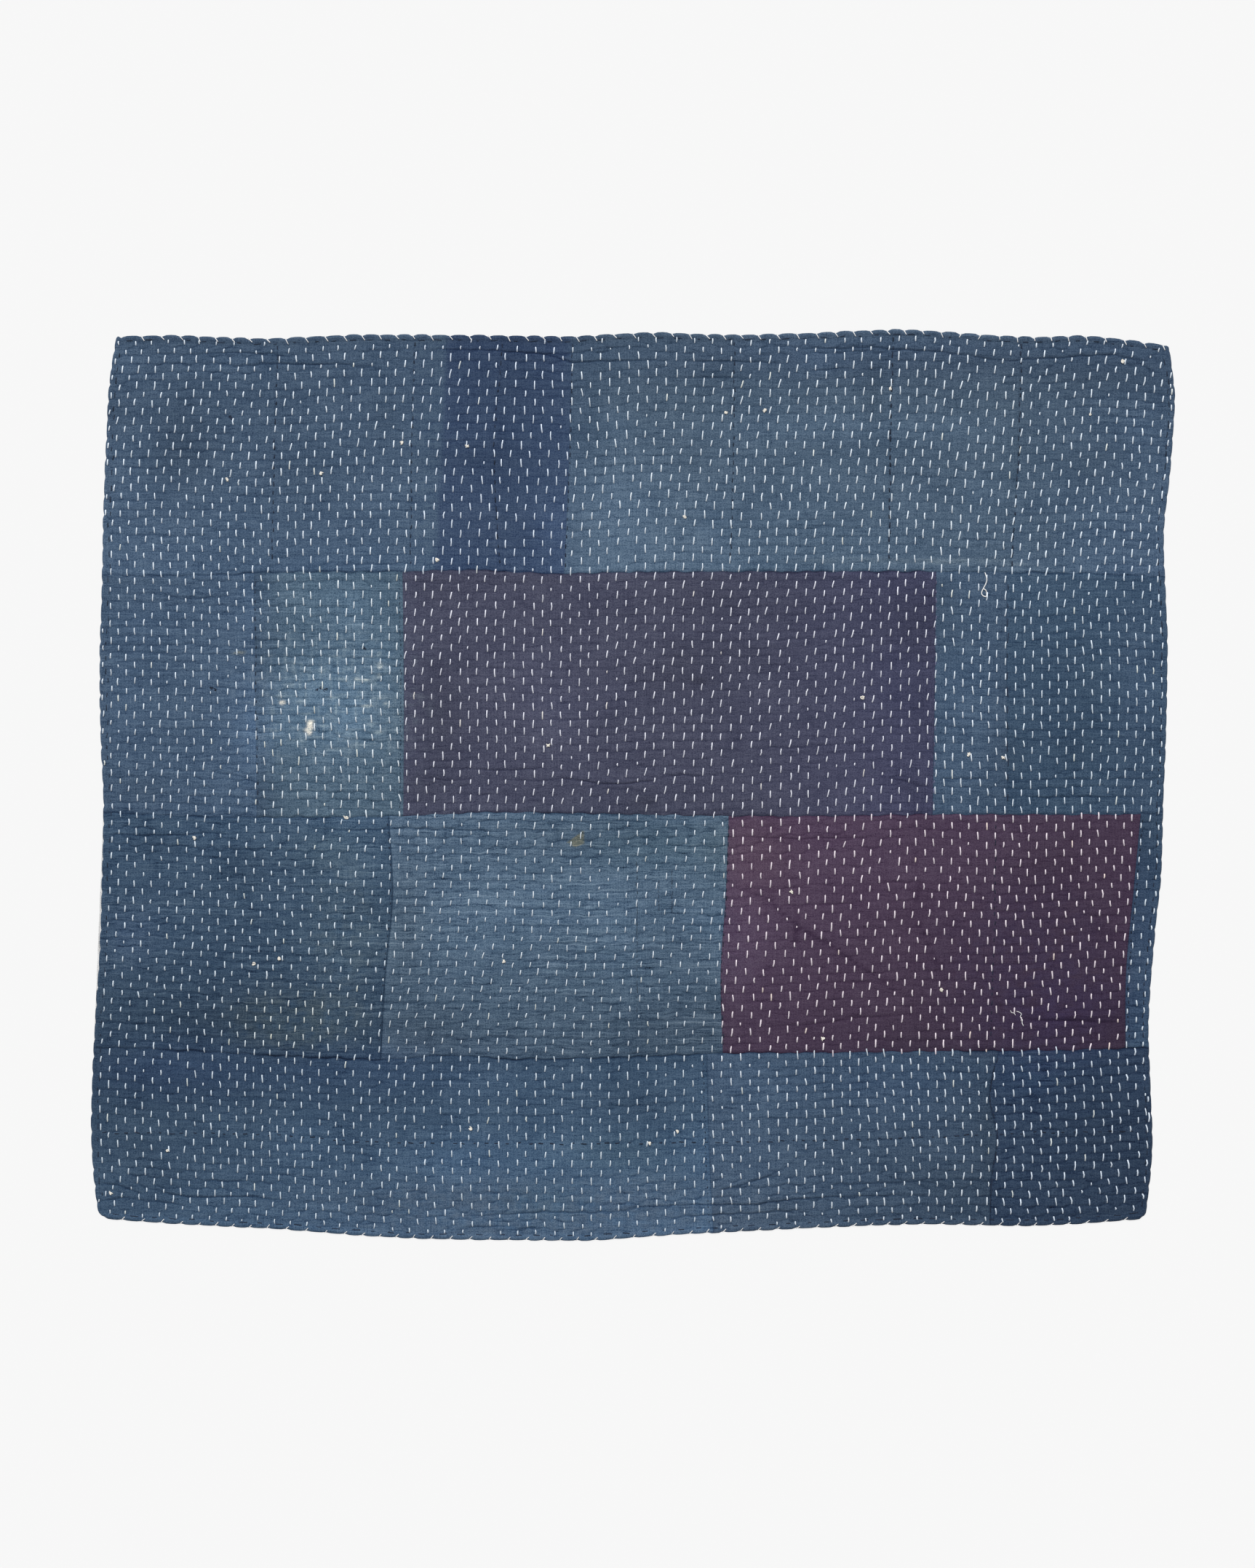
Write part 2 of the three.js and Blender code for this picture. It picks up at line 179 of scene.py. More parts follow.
# The bands, top to bottom. A seam is its x at even steps down the band, and a strip is the span of
# distances from the band's head or foot that holds its main creases. Each panel has its dye, how light it
# is as a whole and at its head, foot, left and right, how strongly it is puckered, how much pale weft
# shows, how long and thick its white stitches are, how far they lean, in degrees, and how far they bow.
PANEL_COLUMNS = ("dye", "fade", "head", "foot", "left", "right", "pucker", "weft",
                 "stitch", "thick", "lean", "bow")
BANDS = [
    {
        "name": "top",
        "upper": TOP_EDGE,
        "lower": HIGH_SEAM,
        "strip": ("head", 12, 54),
        "seams": [(-489, -494, -498), (-301, -305, -307), (-180, -192, -184), (-84, -88, -95),
                  (138, 137, 132), (356, 352, 350), (532, 528, 518)],
        "panels": [
            ("indigo_mid", 0.95, 0.89, 1.15, 1.04, 0.99, 0.40, 0.3, 9.4, 1.0, 2.0, 0),
            ("indigo_mid", 0.965, 0.89, 1.14, 0.98, 1.02, 0.35, 0.3, 10.0, 1.0, 2.0, 0),
            ("indigo_deep", 0.91, 0.92, 1.20, 1.02, 0.98, 0.30, 0.2, 10.4, 0.93, 2.0, 0),
            ("indigo_deep", 0.875, 0.91, 1.26, 0.96, 1.06, 0.30, 0.2, 10.4, 0.96, 1.5, 0),
            ("indigo_light", 0.92, 0.85, 1.24, 1.00, 1.00, 0.30, 0.2, 10.6, 0.95, 2.0, 0),
            ("indigo_light", 0.965, 0.86, 1.12, 1.02, 0.98, 0.30, 0.2, 10.8, 1.0, 3.0, 0),
            ("indigo_light", 0.945, 0.85, 1.08, 1.02, 0.98, 0.30, 0.2, 11.4, 1.0, 5.0, 0),
            ("indigo_mid", 0.915, 0.87, 1.18, 0.99, 1.04, 0.35, 0.3, 10.2, 1.05, 7.0, 0),
        ],
    },
    {
        "name": "upper",
        "upper": HIGH_SEAM,
        "lower": MIDDLE_SEAM,
        "strip": ("foot", 18, 66),
        "seams": [(-521, -519, -517), (-317, -315, -316), (416, 414, 411), (513, 513, 514)],
        "panels": [
            ("indigo_mid", 1.025, 0.98, 0.97, 0.96, 1.07, 0.55, 0.5, 8.8, 0.95, 1.0, 0),
            ("indigo_pale", 0.86, 1.02, 0.94, 1.00, 0.98, 0.45, 0.5, 10.0, 0.95, 0.0, 0),
            ("grey_purple", 1.005, 1.00, 0.99, 1.04, 0.88, 0.25, 0.1, 9.8, 0.94, 5.0, 0),
            ("indigo_mid", 0.98, 1.03, 0.92, 1.05, 0.91, 0.40, 0.4, 10.6, 1.0, 1.5, 0),
            ("indigo_dark", 1.005, 1.06, 0.92, 1.00, 1.03, 0.45, 0.4, 10.2, 0.97, 1.5, 0),
        ],
    },
    {
        "name": "lower",
        "upper": MIDDLE_SEAM,
        "lower": LOW_SEAM,
        "strip": ("head", 12, 52),
        "seams": [(-336, -331, -341, -347), (131, 127, 120, 123), (697, 687, 677, 676)],
        "panels": [
            ("indigo_dark", 0.99, 1.12, 0.80, 0.98, 1.05, 0.90, 0.8, 7.8, 1.0, 2.5, 0),
            ("indigo_light", 1.12, 1.08, 0.78, 1.02, 0.95, 0.90, 1.0, 8.0, 0.86, 4.5, 0),
            ("plum", 0.92, 1.13, 0.80, 1.25, 0.82, 0.40, 0.1, 9.2, 1.1, 2.5, 0),
            ("indigo_dark", 0.86, 0.95, 1.10, 0.95, 1.08, 0.60, 0.5, 8.4, 1.05, 3.0, 0),
        ],
    },
    {
        "name": "bottom",
        "upper": LOW_SEAM,
        "lower": BOTTOM_EDGE,
        "strip": ("foot", 10, 78),
        "seams": [(101, 104, 110), (502, 489, 499, 491, 490)],
        "panels": [
            ("indigo_dark", 1.105, 0.82, 1.22, 0.80, 1.20, 0.55, 0.3, 8.8, 0.98, 1.0, 0),
            ("indigo_mid", 1.065, 0.88, 0.84, 1.07, 0.74, 0.60, 0.3, 9.0, 1.08, -1.5, 0.2),
            ("indigo_midnight", 0.96, 1.06, 0.94, 1.09, 0.93, 1.00, 0.4, 9.6, 1.1, -6.0, 0.6),
        ],
    },
]


def smooth_line(pairs):
    """A smooth line through (position, value) pairs, as a function of an array of positions."""
    places = np.array([pair[0] for pair in pairs], float)
    values = np.array([pair[1] for pair in pairs], float)
    before = np.maximum(np.arange(len(pairs)) - 1, 0)
    after = np.minimum(np.arange(len(pairs)) + 1, len(pairs) - 1)
    slopes = (values[after] - values[before]) / (places[after] - places[before])

    def line(position):
        i = np.clip(np.searchsorted(places, position, side="right") - 1, 0, len(places) - 2)
        span = places[i + 1] - places[i]
        t = np.clip((position - places[i]) / span, 0.0, 1.0)
        rise = values[i + 1] - values[i]
        bend = t * (1.0 - t) * span
        eased = values[i] + rise * t * t * (3.0 - 2.0 * t)
        return eased + bend * ((1.0 - t) * slopes[i] - t * slopes[i + 1])

    return line


def smooth_step(low, high, value):
    """Goes smoothly from 0 at one value to 1 at another."""
    t = np.clip((value - low) / (high - low), 0.0, 1.0)
    return t * t * (3.0 - 2.0 * t)


def bell(away_x, away_y, half_x, half_y):
    """Goes softly from 1 at a middle to 0 all round it, by the distances from that middle."""
    return np.exp(-(away_x / half_x) ** 2 - (away_y / half_y) ** 2)


def seam_line(steps, upper, lower):
    """A seam down a band, from its x at even steps between the band's two borders."""
    middle = steps[len(steps) // 2]
    levels = np.linspace(float(upper(middle)), float(lower(middle)), len(steps))
    return smooth_line(list(zip(levels, steps))[::-1])


# The small waves that stitches pull into a seam across: height, length and wander
SEAM_WAVES = [(0.7, 4.6, 37), (0.5, 8.7, 61)]


def border_line(pairs):
    """A band's border: an outer edge, or a seam with the small waves that its stitches pull into it."""
    line = smooth_line(pairs)
    if pairs is TOP_EDGE or pairs is BOTTOM_EDGE:
        return line

    def waved(x):
        y = line(x)
        for height, length, wander in SEAM_WAVES:
            y = y + height * np.sin(x / length + 2 * np.sin(x / wander))
        return y

    return waved


top_edge = smooth_line(TOP_EDGE)
bottom_edge = smooth_line(BOTTOM_EDGE)
left_edge = smooth_line(LEFT_EDGE)
right_edge = smooth_line(RIGHT_EDGE)


def make_panels():
    """Each panel's borders, dye, wear and stitching, in the order of the bands."""
    panels = []
    for band in BANDS:
        upper = border_line(band["upper"])
        lower = border_line(band["lower"])
        sides = [left_edge] + [seam_line(steps, upper, lower) for steps in band["seams"]] + [right_edge]
        last = len(band["panels"]) - 1
        for i, row in enumerate(band["panels"]):
            panels.append({
                "name": f"{band['name']}_{i + 1}",
                "border": {"upper": upper, "lower": lower, "left": sides[i], "right": sides[i + 1]},
                "hem": {"left": i == 0, "right": i == last, "upper": band["upper"] is TOP_EDGE,
                        "lower": band["lower"] is BOTTOM_EDGE},
                "strip": band["strip"],
                **dict(zip(PANEL_COLUMNS, row)),
            })
    return panels


PANELS = make_panels()

# A drawing board of one point per millimetre, on which the cloth's relief and wear are drawn
BOARD_X = np.arange(-765.0, 766.0)
BOARD_Y = np.arange(-645.0, 646.0)
BOARD_SHAPE = (len(BOARD_Y), len(BOARD_X))
GRID_X, GRID_Y = np.meshgrid(BOARD_X, BOARD_Y)


def spline_weights(count, step):
    """Weights that spread coarse random points over the board as a smooth cubic curve."""
    place = np.arange(count) / step + 1.0
    cell = np.floor(place).astype(int)
    t = place - cell
    weights = np.zeros((count, int(place[-1]) + 4))
    rows = np.arange(count)
    cubic = [(1 - t) ** 3, 3 * t ** 3 - 6 * t ** 2 + 4, -3 * t ** 3 + 3 * t ** 2 + 3 * t + 1, t ** 3]
    for offset, part in enumerate(cubic):
        weights[rows, cell - 1 + offset] = part / 6.0
    return weights


def noise(step_x, step_y):
    """Smooth random relief over the board, about one high, with bumps of the given size."""
    across = spline_weights(BOARD_SHAPE[1], step_x)
    along = spline_weights(BOARD_SHAPE[0], step_y)
    coarse = RNG.standard_normal((along.shape[1], across.shape[1]))
    field = along @ coarse @ across.T
    return field / field.std()


def sample(field, x, y):
    """Values of a board field at points of the blanket."""
    col = np.clip(np.asarray(x) - BOARD_X[0], 0.0, BOARD_SHAPE[1] - 1.001)
    row = np.clip(np.asarray(y) - BOARD_Y[0], 0.0, BOARD_SHAPE[0] - 1.001)
    i = row.astype(int)
    j = col.astype(int)
    t = row - i
    s = col - j
    low = field[i, j] * (1 - s) + field[i, j + 1] * s
    high = field[i + 1, j] * (1 - s) + field[i + 1, j + 1] * s
    return low * (1 - t) + high * t


def patch(x_low, x_high, y_low, y_high):
    """The part of the board inside a box, as two slices."""
    col = np.clip(np.array([x_low, x_high + 1]) - BOARD_X[0], 0, BOARD_SHAPE[1]).astype(int)
    row = np.clip(np.array([y_low, y_high + 1]) - BOARD_Y[0], 0, BOARD_SHAPE[0]).astype(int)
    return slice(row[0], row[1]), slice(col[0], col[1])


def path_distance(x, y, path):
    """Signed distance from points to a path of straight stretches, and the share along it."""
    least = np.full(np.shape(x), np.inf)
    signed = np.zeros(np.shape(x))
    share = np.zeros(np.shape(x))
    for i, ((x0, y0), (x1, y1)) in enumerate(zip(path[:-1], path[1:])):
        dx, dy = x1 - x0, y1 - y0
        length = math.hypot(dx, dy)
        t = np.clip(((x - x0) * dx + (y - y0) * dy) / length ** 2, 0.0, 1.0)
        away = np.hypot(x - x0 - t * dx, y - y0 - t * dy)
        side = np.sign((y - y0) * dx - (x - x0) * dy)
        nearer = away < least
        least = np.where(nearer, away, least)
        signed = np.where(nearer, away * np.where(side == 0, 1, side), signed)
        share = np.where(nearer, (i + t) / (len(path) - 1), share)
    return signed, share


def draw_fold(height, shade, path, depth, width, ridge_width, darkness):
    """A soft trough along a path, with the cloth pushed up beside it, and the dark line of its shadow."""
    reach = 2 * width + 2.5 * ridge_width
    xs = [point[0] for point in path]
    ys = [point[1] for point in path]
    area = patch(min(xs) - reach, max(xs) + reach, min(ys) - reach, max(ys) + reach)
    away, share = path_distance(GRID_X[area], GRID_Y[area], path)
    fade = np.cbrt(np.clip(np.sin(np.pi * np.clip(share, 0.03, 0.97)), 0.0, 1.0))
    trough = np.exp(-(away / width) ** 2)
    ridge = np.exp(-((away - width - 0.8 * ridge_width) / ridge_width) ** 2)
    height[area] += depth * fade * (0.5 * ridge - trough)
    line = np.exp(-(away / (0.8 * width)) ** 2)
    shade[area] = np.maximum(shade[area], darkness * fade * line)


# The small furrows: half widths of the trough and of the cloth pushed up beside it, how broken they are in
# smooth cloth and how much less so in puckered cloth, and how deep they are
FURROW_WIDTH = 1.3
FURROW_RIDGE = 2.6
FURROW_BREAKS = 0.9
PUCKERED_BREAKS = 1.6
FURROW_DEPTHS = (0.15, 0.40)
PUCKERED_DEPTH = 0.35

# Half width of the cloth pushed up beside a main crease
CREASE_RIDGE = 5.0

# Main creases: depth, half width and path
CREASES = [
    (0.8, 1.2, [(-595, 592), (-545, 594), (-495, 593), (-470, 587)]),
    (1.0, 1.2, [(-550, 573), (-508, 578), (-485, 579), (-460, 577), (-410, 578), (-360, 576)]),
    (1.0, 1.2, [(-270, 599), (-195, 597), (-125, 592), (-83, 580), (-20, 583), (44, 582)]),
    (0.6, 1.1, [(-130, 592), (-84, 593), (-53, 599), (-17, 602), (20, 601)]),
    (0.9, 1.2, [(74, 582), (130, 583), (197, 580)]),
    (0.7, 1.2, [(82, 559), (120, 561), (162, 559)]),
    (0.9, 1.2, [(220, 599), (300, 600), (330, 601), (430, 595), (494, 583)]),
    (0.6, 1.2, [(240, 569), (300, 574)]),
    (0.9, 1.2, [(470, 586), (515, 582), (600, 588), (658, 592), (693, 583), (718, 560)]),
    (0.9, 1.2, [(-665, 262), (-605, 255), (-545, 260)]),
    (0.6, 1.2, [(-300, 10), (-255, 5), (-220, 8)]),
    (0.7, 1.2, [(-220, 21), (-170, 19), (-125, 24)]),
    (0.4, 1.2, [(-172, 6), (-130, 5), (-98, 8)]),
    (1.4, 1.1, [(-98, 8), (-69, 5), (-50, 2), (-28, 1), (-2, 2), (18, 5), (35, 7)]),
    (0.5, 1.2, [(35, 7), (47, 13), (68, 14), (90, 12)]),
    (0.4, 1.2, [(-36, -5), (0, -7), (25, -9)]),
    (0.7, 1.2, [(350, 9), (380, 4), (410, -6)]),
    (0.7, 1.2, [(420, 7), (455, 8), (490, 7)]),
    (0.6, 1.2, [(540, -18), (620, -17), (695, -18)]),
    (0.6, 1.2, [(-575, 17), (-545, 12), (-520, 9)]),
    (0.8, 1.2, [(-445, -61), (-390, -63), (-310, -60), (-240, -62), (-180, -65)]),
    (0.8, 1.2, [(-720, -68), (-640, -70), (-580, -66), (-550, -69)]),
    (0.6, 2.4, [(134, -136), (190, -160), (223, -193), (263, -215), (310, -247), (361, -285)]),
    (0.4, 2.2, [(180, -160), (230, -195), (270, -228)]),
    (0.45, 2.6, [(388, -86), (392, -191), (414, -241), (432, -278)]),
    (0.8, 1.2, [(224, -166), (224, -210), (225, -256)]),
    (0.6, 1.2, [(220, -166), (260, -165), (310, -163)]),
    (0.7, 1.2, [(190, -331), (250, -328), (310, -320), (380, -316)]),
    (0.9, 2.2, [(535, -321), (600, -324), (670, -326)]),
    (0.7, 1.2, [(145, -72), (230, -74), (330, -71)]),
    (1.1, 1.2, [(-731, -548), (-707, -550), (-697, -555), (-687, -557), (-674, -563)]),
    (1.0, 1.2, [(-675, -555), (-652, -557), (-628, -565), (-609, -566), (-596, -568), (-569, -566),
                (-520, -566), (-480, -572)]),
    (0.7, 1.2, [(-666, -571), (-652, -574), (-638, -574), (-617, -578)]),
    (0.7, 1.2, [(-732, -572), (-707, -567), (-683, -568)]),
    (0.7, 1.2, [(-719, -535), (-711, -543), (-707, -550)]),
    (0.8, 1.2, [(-588, -543), (-576, -545), (-558, -546), (-543, -543), (-531, -546)]),
    (0.9, 1.2, [(-240, -592), (-166, -590), (-121, -587), (-98, -588), (-55, -588), (-15, -585),
                (8, -580)]),
    (0.7, 1.2, [(-230, -608), (-197, -608), (-174, -605)]),
    (0.7, 1.2, [(-161, -609), (-138, -609), (-128, -605)]),
    (1.0, 1.2, [(-10, -581), (50, -578), (130, -576), (165, -578), (205, -571), (250, -567), (290, -565),
                (400, -563)]),
    (0.9, 1.2, [(45, -596), (100, -591), (180, -588), (225, -585), (252, -596)]),
    (0.8, 1.2, [(120, -556), (165, -546), (205, -528), (227, -513)]),
    (0.7, 1.2, [(270, -551), (345, -548), (405, -546), (440, -553)]),
    (0.7, 1.2, [(445, -541), (487, -546)]),
    (0.8, 1.2, [(535, -426), (548, -431), (560, -434)]),
]


def in_band(border):
    """Which points of the board lie between the upper and lower border of a band."""
    return (GRID_Y <= border["upper"](GRID_X)) & (GRID_Y > border["lower"](GRID_X))


def panel_board():
    """The number of the panel that each point of the board lies in."""
    board = np.zeros(BOARD_SHAPE, int)
    for number, panel in enumerate(PANELS):
        border = panel["border"]
        beside = (GRID_X >= border["left"](GRID_Y)) & (GRID_X < border["right"](GRID_Y))
        board[in_band(border) & beside] = number
    return board


# How dark the painted shadow lines along the seams across are, and how wide
ACROSS_LINES = [(HIGH_SEAM, 0.95), (MIDDLE_SEAM, 1.0), (LOW_SEAM, 1.35)]
ACROSS_LINE_WIDTH = 1.6

# How dark the painted shadow line of a seam down a band is, by the panel before it, and how wide
DOWN_LINE_WIDTH = 1.0
USUAL_LINE = 0.15
SEAM_LINES = {"upper_3": 0.35, "lower_1": 1.1, "lower_3": 0.45, "bottom_1": 0.5, "bottom_2": 0.8}


def seam_boards():
    """Distance from each point of the board to the nearest seam across and down, and the seams' shadow."""
    across = np.full(BOARD_SHAPE, FAR)
    down = np.full(BOARD_SHAPE, FAR)
    shade = np.zeros(BOARD_SHAPE)
    wander = 0.4 * noise(17, 300)
    uneven = np.clip(0.75 + 0.25 * noise(30, 200), 0.35, 1.0)
    for line, darkness in ACROSS_LINES:
        away = np.abs(GRID_Y - border_line(line)(GRID_X) - wander)
        across = np.minimum(across, away)
        shade = np.maximum(shade, darkness * uneven * np.exp(-(away / ACROSS_LINE_WIDTH) ** 2))
    for panel in PANELS:
        if not panel["hem"]["right"]:
            border = panel["border"]
            away = np.where(in_band(border), np.abs(GRID_X - border["right"](GRID_Y)), FAR)
            down = np.minimum(down, away)
            darkness = SEAM_LINES.get(panel["name"], USUAL_LINE)
            shade = np.maximum(shade, darkness * np.exp(-(away / DOWN_LINE_WIDTH) ** 2))
    return across, down, shade


PANEL_OF = panel_board()
SEAM_ACROSS, SEAM_DOWN, SEAM_SHADE = seam_boards()


def by_panel(key, x, y):
    """A column of the panels' table at points of the blanket."""
    values = np.array([panel[key] for panel in PANELS])
    row = np.clip(np.round(y - BOARD_Y[0]).astype(int), 0, BOARD_SHAPE[0] - 1)
    col = np.clip(np.round(x - BOARD_X[0]).astype(int), 0, BOARD_SHAPE[1] - 1)
    return values[PANEL_OF[row, col]]


# Spacing of the columns of white stitches, from the left side of the blanket to the right
column_pitch = smooth_line([(0, 11.2), (320, 11.6), (490, 12.8), (830, 12.9), (1050, 12.2), (1490, 12.0)])


def column_shares():
    """Where each column of white stitches runs, as a share of the way from left to right."""
    width = float(right_edge(0.0) - left_edge(0.0))
    places = [COLUMN_CLEAR]
    while places[-1] < width - COLUMN_CLEAR:
        places.append(places[-1] + float(column_pitch(places[-1])))
    places = np.array(places) - COLUMN_CLEAR
    return (COLUMN_CLEAR + places * (width - 2 * COLUMN_CLEAR) / places[-1]) / width


# White stitches close to the right edge, beyond the columns: middle and length
EDGE_STITCHES = [(707, -432, 7), (708, -457, 13), (738, 548, 5), (738, 532, 6)]


def stitch_grid():
    """Even places of the white stitches, and the numbers of their columns and rows."""
    shares = column_shares()
    columns = np.repeat(np.arange(len(shares)), STITCH_ROWS)
    rows = np.tile(np.arange(STITCH_ROWS), len(shares))
    across = shares[columns]
    down = (rows + FIRST_ROW + STAGGER * (columns % 2)) / (STITCH_ROWS + LAST_ROW)
    x = np.zeros(len(columns))
    y = np.zeros(len(columns))
    for _ in range(4):
        x = left_edge(y) + across * (right_edge(y) - left_edge(y))
        y = top_edge(x) + down * (bottom_edge(x) - top_edge(x))
    return x, y, columns, rows


def stitch_lengths(x, y, from_end, from_side):
    """Lengths of the white stitches, which are shorter near the edges and the creases."""
    length = by_panel("stitch", x, y) + LENGTH_SPREAD * RNG.standard_normal(len(x))
    length = np.where(RNG.random(len(x)) < SHORT_SHARE, SHORT_LENGTH, np.clip(length, *LENGTH_LIMITS))
    for away, (share, reach, least) in ((from_end, END_SHORTENING), (from_side, SIDE_SHORTENING)):
        length = length * np.clip(share + away / reach, least, 1.0)
    for _, _, path in CREASES:
        from_crease, _ = path_distance(x, y, path)
        length = np.where(np.abs(from_crease) < CREASE_NEAR, CREASE_SHORTENING * length, length)
    return length


def place_stitches():
    """The white quilting stitches: middles, lengths and leans, in staggered columns."""
    wander_x = noise(160, 240)
    wander_y = noise(210, 150)
    shake_x = noise(12, 60)
    sway = noise(90, 70)
    x, y, columns, rows = stitch_grid()
    x = x + COLUMN_WANDER * sample(wander_x, x, y) + COLUMN_SHAKE * sample(shake_x, x, y)
    x = x + COLUMN_STRAY * RNG.standard_normal(len(x))
    y = y + ROW_WANDER * sample(wander_y, x, y) + ROW_STRAY * RNG.standard_normal(len(y))
    from_end = np.minimum(top_edge(x) - y, y - bottom_edge(x))
    from_side = np.minimum(x - left_edge(y), right_edge(y) - x)
    length = stitch_lengths(x, y, from_end, from_side)
    lean = by_panel("lean", x, y) + LEAN_SWAY * sample(sway, x, y)
    lean = np.radians(lean + LEAN_SPREAD * RNG.standard_normal(len(x)))
    keep = (from_end > STITCH_END_CLEAR) & (from_side > STITCH_SIDE_CLEAR)
    keep &= RNG.random(len(x)) > SKIPPED_SHARE
    edge_x, edge_y, edge_length = np.array(EDGE_STITCHES, float).T
    none = np.zeros(len(EDGE_STITCHES), int)
    return {"x": np.append(x[keep], edge_x), "y": np.append(y[keep], edge_y),
            "length": np.append(length[keep], edge_length), "lean": np.append(lean[keep], none),
            "column": np.append(columns[keep], none - 9), "row": np.append(rows[keep], none - 9)}


STITCHES = place_stitches()


def draw_stitch_pulls(height, shade):
    """The hollow that each white stitch pulls in the cloth, deepest where the thread goes in, with painted
    shade at its ends.
    """
    for x, y, length, lean in zip(*(STITCHES[key] for key in ("x", "y", "length", "lean"))):
        area = patch(x - PULL_REACH, x + PULL_REACH, y - PULL_REACH, y + PULL_REACH)
        away_x = GRID_X[area] - x
        away_y = GRID_Y[area] - y
        height[area] -= PULL_DEPTH * bell(away_x, away_y, PULL_WIDTH, PULL_LENGTH_SHARE * length)
        for end in (-0.5, 0.5):
            end_x = away_x - end * length * math.sin(lean)
            end_y = away_y - end * length * math.cos(lean)
            height[area] -= END_DEPTH * bell(end_x, end_y, END_WIDTH, END_HEIGHT)
            # Painted shade in the hollow where the thread goes into the cloth
            dark = END_SHADE * bell(end_x, end_y, END_SHADE_WIDTH, END_SHADE_HEIGHT)
            shade[area] = np.maximum(shade[area], dark)


def draw_furrows(height, shade):
    """Furrows from the end of one white stitch to the end of its neighbour, in broken wavy lines, with
    painted shadow.
    """
    broken = noise(70, 9)
    place = {(c, r): k for k, (c, r) in enumerate(zip(STITCHES["column"], STITCHES["row"]))}
    x, y, length = STITCHES["x"], STITCHES["y"], STITCHES["length"]
    pucker = by_panel("pucker", x, y)
    amount = sample(broken, x, y)
    for k, (column, row) in enumerate(zip(STITCHES["column"], STITCHES["row"])):
        for end, next_row in ((-0.5, row + column % 2), (0.5, row + column % 2 - 1)):
            mate = place.get((column + 1, next_row))
            if mate is None:
                continue
            if amount[k] + RNG.normal(0, 0.5) < FURROW_BREAKS - PUCKERED_BREAKS * pucker[k]:
                continue
            start = (x[k], y[k] + end * length[k])
            finish = (x[mate], y[mate] - end * length[mate])
            middle = ((start[0] + finish[0]) / 2, (start[1] + finish[1]) / 2 + RNG.normal(0, 0.7))
            depth = RNG.uniform(*FURROW_DEPTHS) + PUCKERED_DEPTH * pucker[k] * RNG.random()
            # The last value is how dark the painted shadow along the furrow is
            draw_fold(height, shade, [start, middle, finish], depth, FURROW_WIDTH, FURROW_RIDGE,
                      min(1.7 * depth, 1.0))


def distances_along(path):
    """How far along a path each of its points lies."""
    return np.concatenate([[0], np.cumsum(np.hypot(*np.diff(path, axis=0).T))])


def points_along(path, places):
    """The x and y of the points at distances along a path."""
    reached = distances_along(path)
    return np.array([np.interp(places, reached, part) for part in np.asarray(path, float).T])


# The steps in which a main crease is drawn, and how far and from how far it is drawn to stitch ends
CREASE_STEP = 5.0
CREASE_PULL = 0.7
CREASE_PULL_REACH = 6.0


def through_stitch_ends(path):
    """A crease's path in short steps, drawn towards the stitch ends that it passes."""
    length = distances_along(path)[-1]
    points = points_along(path, np.linspace(0, length, max(int(length / CREASE_STEP), 2))).T
    half = 0.5 * np.column_stack([STITCHES["length"] * np.sin(STITCHES["lean"]),
                                  STITCHES["length"] * np.cos(STITCHES["lean"])])
    middles = np.column_stack([STITCHES["x"], STITCHES["y"]])
    ends = np.concatenate([middles - half, middles + half])
    for point in points:
        away = ends - point
        nearest = away[np.argmin(np.hypot(away[:, 0], 2 * away[:, 1]))]
        point += nearest * CREASE_PULL * math.exp(-(math.hypot(*nearest) / CREASE_PULL_REACH) ** 2)
    for _ in range(2):
        points[1:-1] = 0.25 * points[:-2] + 0.5 * points[1:-1] + 0.25 * points[2:]
    return points


# Heights of the cloth's shallow ripples and of its puckers
RIPPLE_HEIGHT = 0.3
PUCKER_HEIGHT = 0.22

# Beside a seam the cloth is thicker by its turned-in edges, and it dips where the two panels meet
TURNED_HEIGHT = 0.25
TURNED_WIDTH = 11.0
TURNED_EDGE = 0.9
ACROSS_DIP = 0.6
DOWN_DIP = 0.1
SEAM_DIP_WIDTH = 1.8


def draw_relief():
    """The cloth's relief over the board and the shade that lies in its furrows."""
    ripple_x = np.sin(GRID_X / 58 + 2 * np.sin(GRID_Y / 97))
    ripple_y = np.sin(GRID_Y / 43 + 2 * np.sin(GRID_X / 131))
    height = CLOTH_HEIGHT + RIPPLE_HEIGHT * ripple_x * ripple_y
    shade = np.zeros(BOARD_SHAPE)
    pucker = np.array([panel["pucker"] for panel in PANELS])[PANEL_OF]
    height += PUCKER_HEIGHT * (0.3 + pucker) * (0.6 * noise(34, 7) + 0.4 * noise(18, 4.5))
    draw_stitch_pulls(height, shade)
    draw_furrows(height, shade)
    for depth, width, path in CREASES:
        # How dark the painted shadow along the crease is
        darkness = min(0.55 + 0.55 * depth, 1.1)
        draw_fold(height, shade, through_stitch_ends(path), depth, width, CREASE_RIDGE, darkness)
    for away, dip in ((SEAM_ACROSS, ACROSS_DIP), (SEAM_DOWN, DOWN_DIP)):
        turned = TURNED_HEIGHT / (1 + np.exp((away - TURNED_WIDTH) / TURNED_EDGE))
        height += turned - dip * np.exp(-(away / SEAM_DIP_WIDTH) ** 2)
    return height, np.maximum(shade, SEAM_SHADE)


OPEN_HEIGHT, FURROW_SHADE = draw_relief()


def notch_at(index):
    """Where a scallop's notch lies along the edge."""
    return index * SCALLOP_PITCH + SCALLOP_WANDER * np.sin(index * 0.7)


def scallop(place):
    """Along an edge: the share of the way through a scallop, and how tightly that scallop is drawn."""
    index = np.floor(place / SCALLOP_PITCH) - 1
    for _ in range(3):
        index = np.where(notch_at(index + 1) <= place, index + 1, index)
    along = (place - notch_at(index)) / (notch_at(index + 1) - notch_at(index))
    return along, 0.7 + 0.3 * np.sin(index * 1.9)


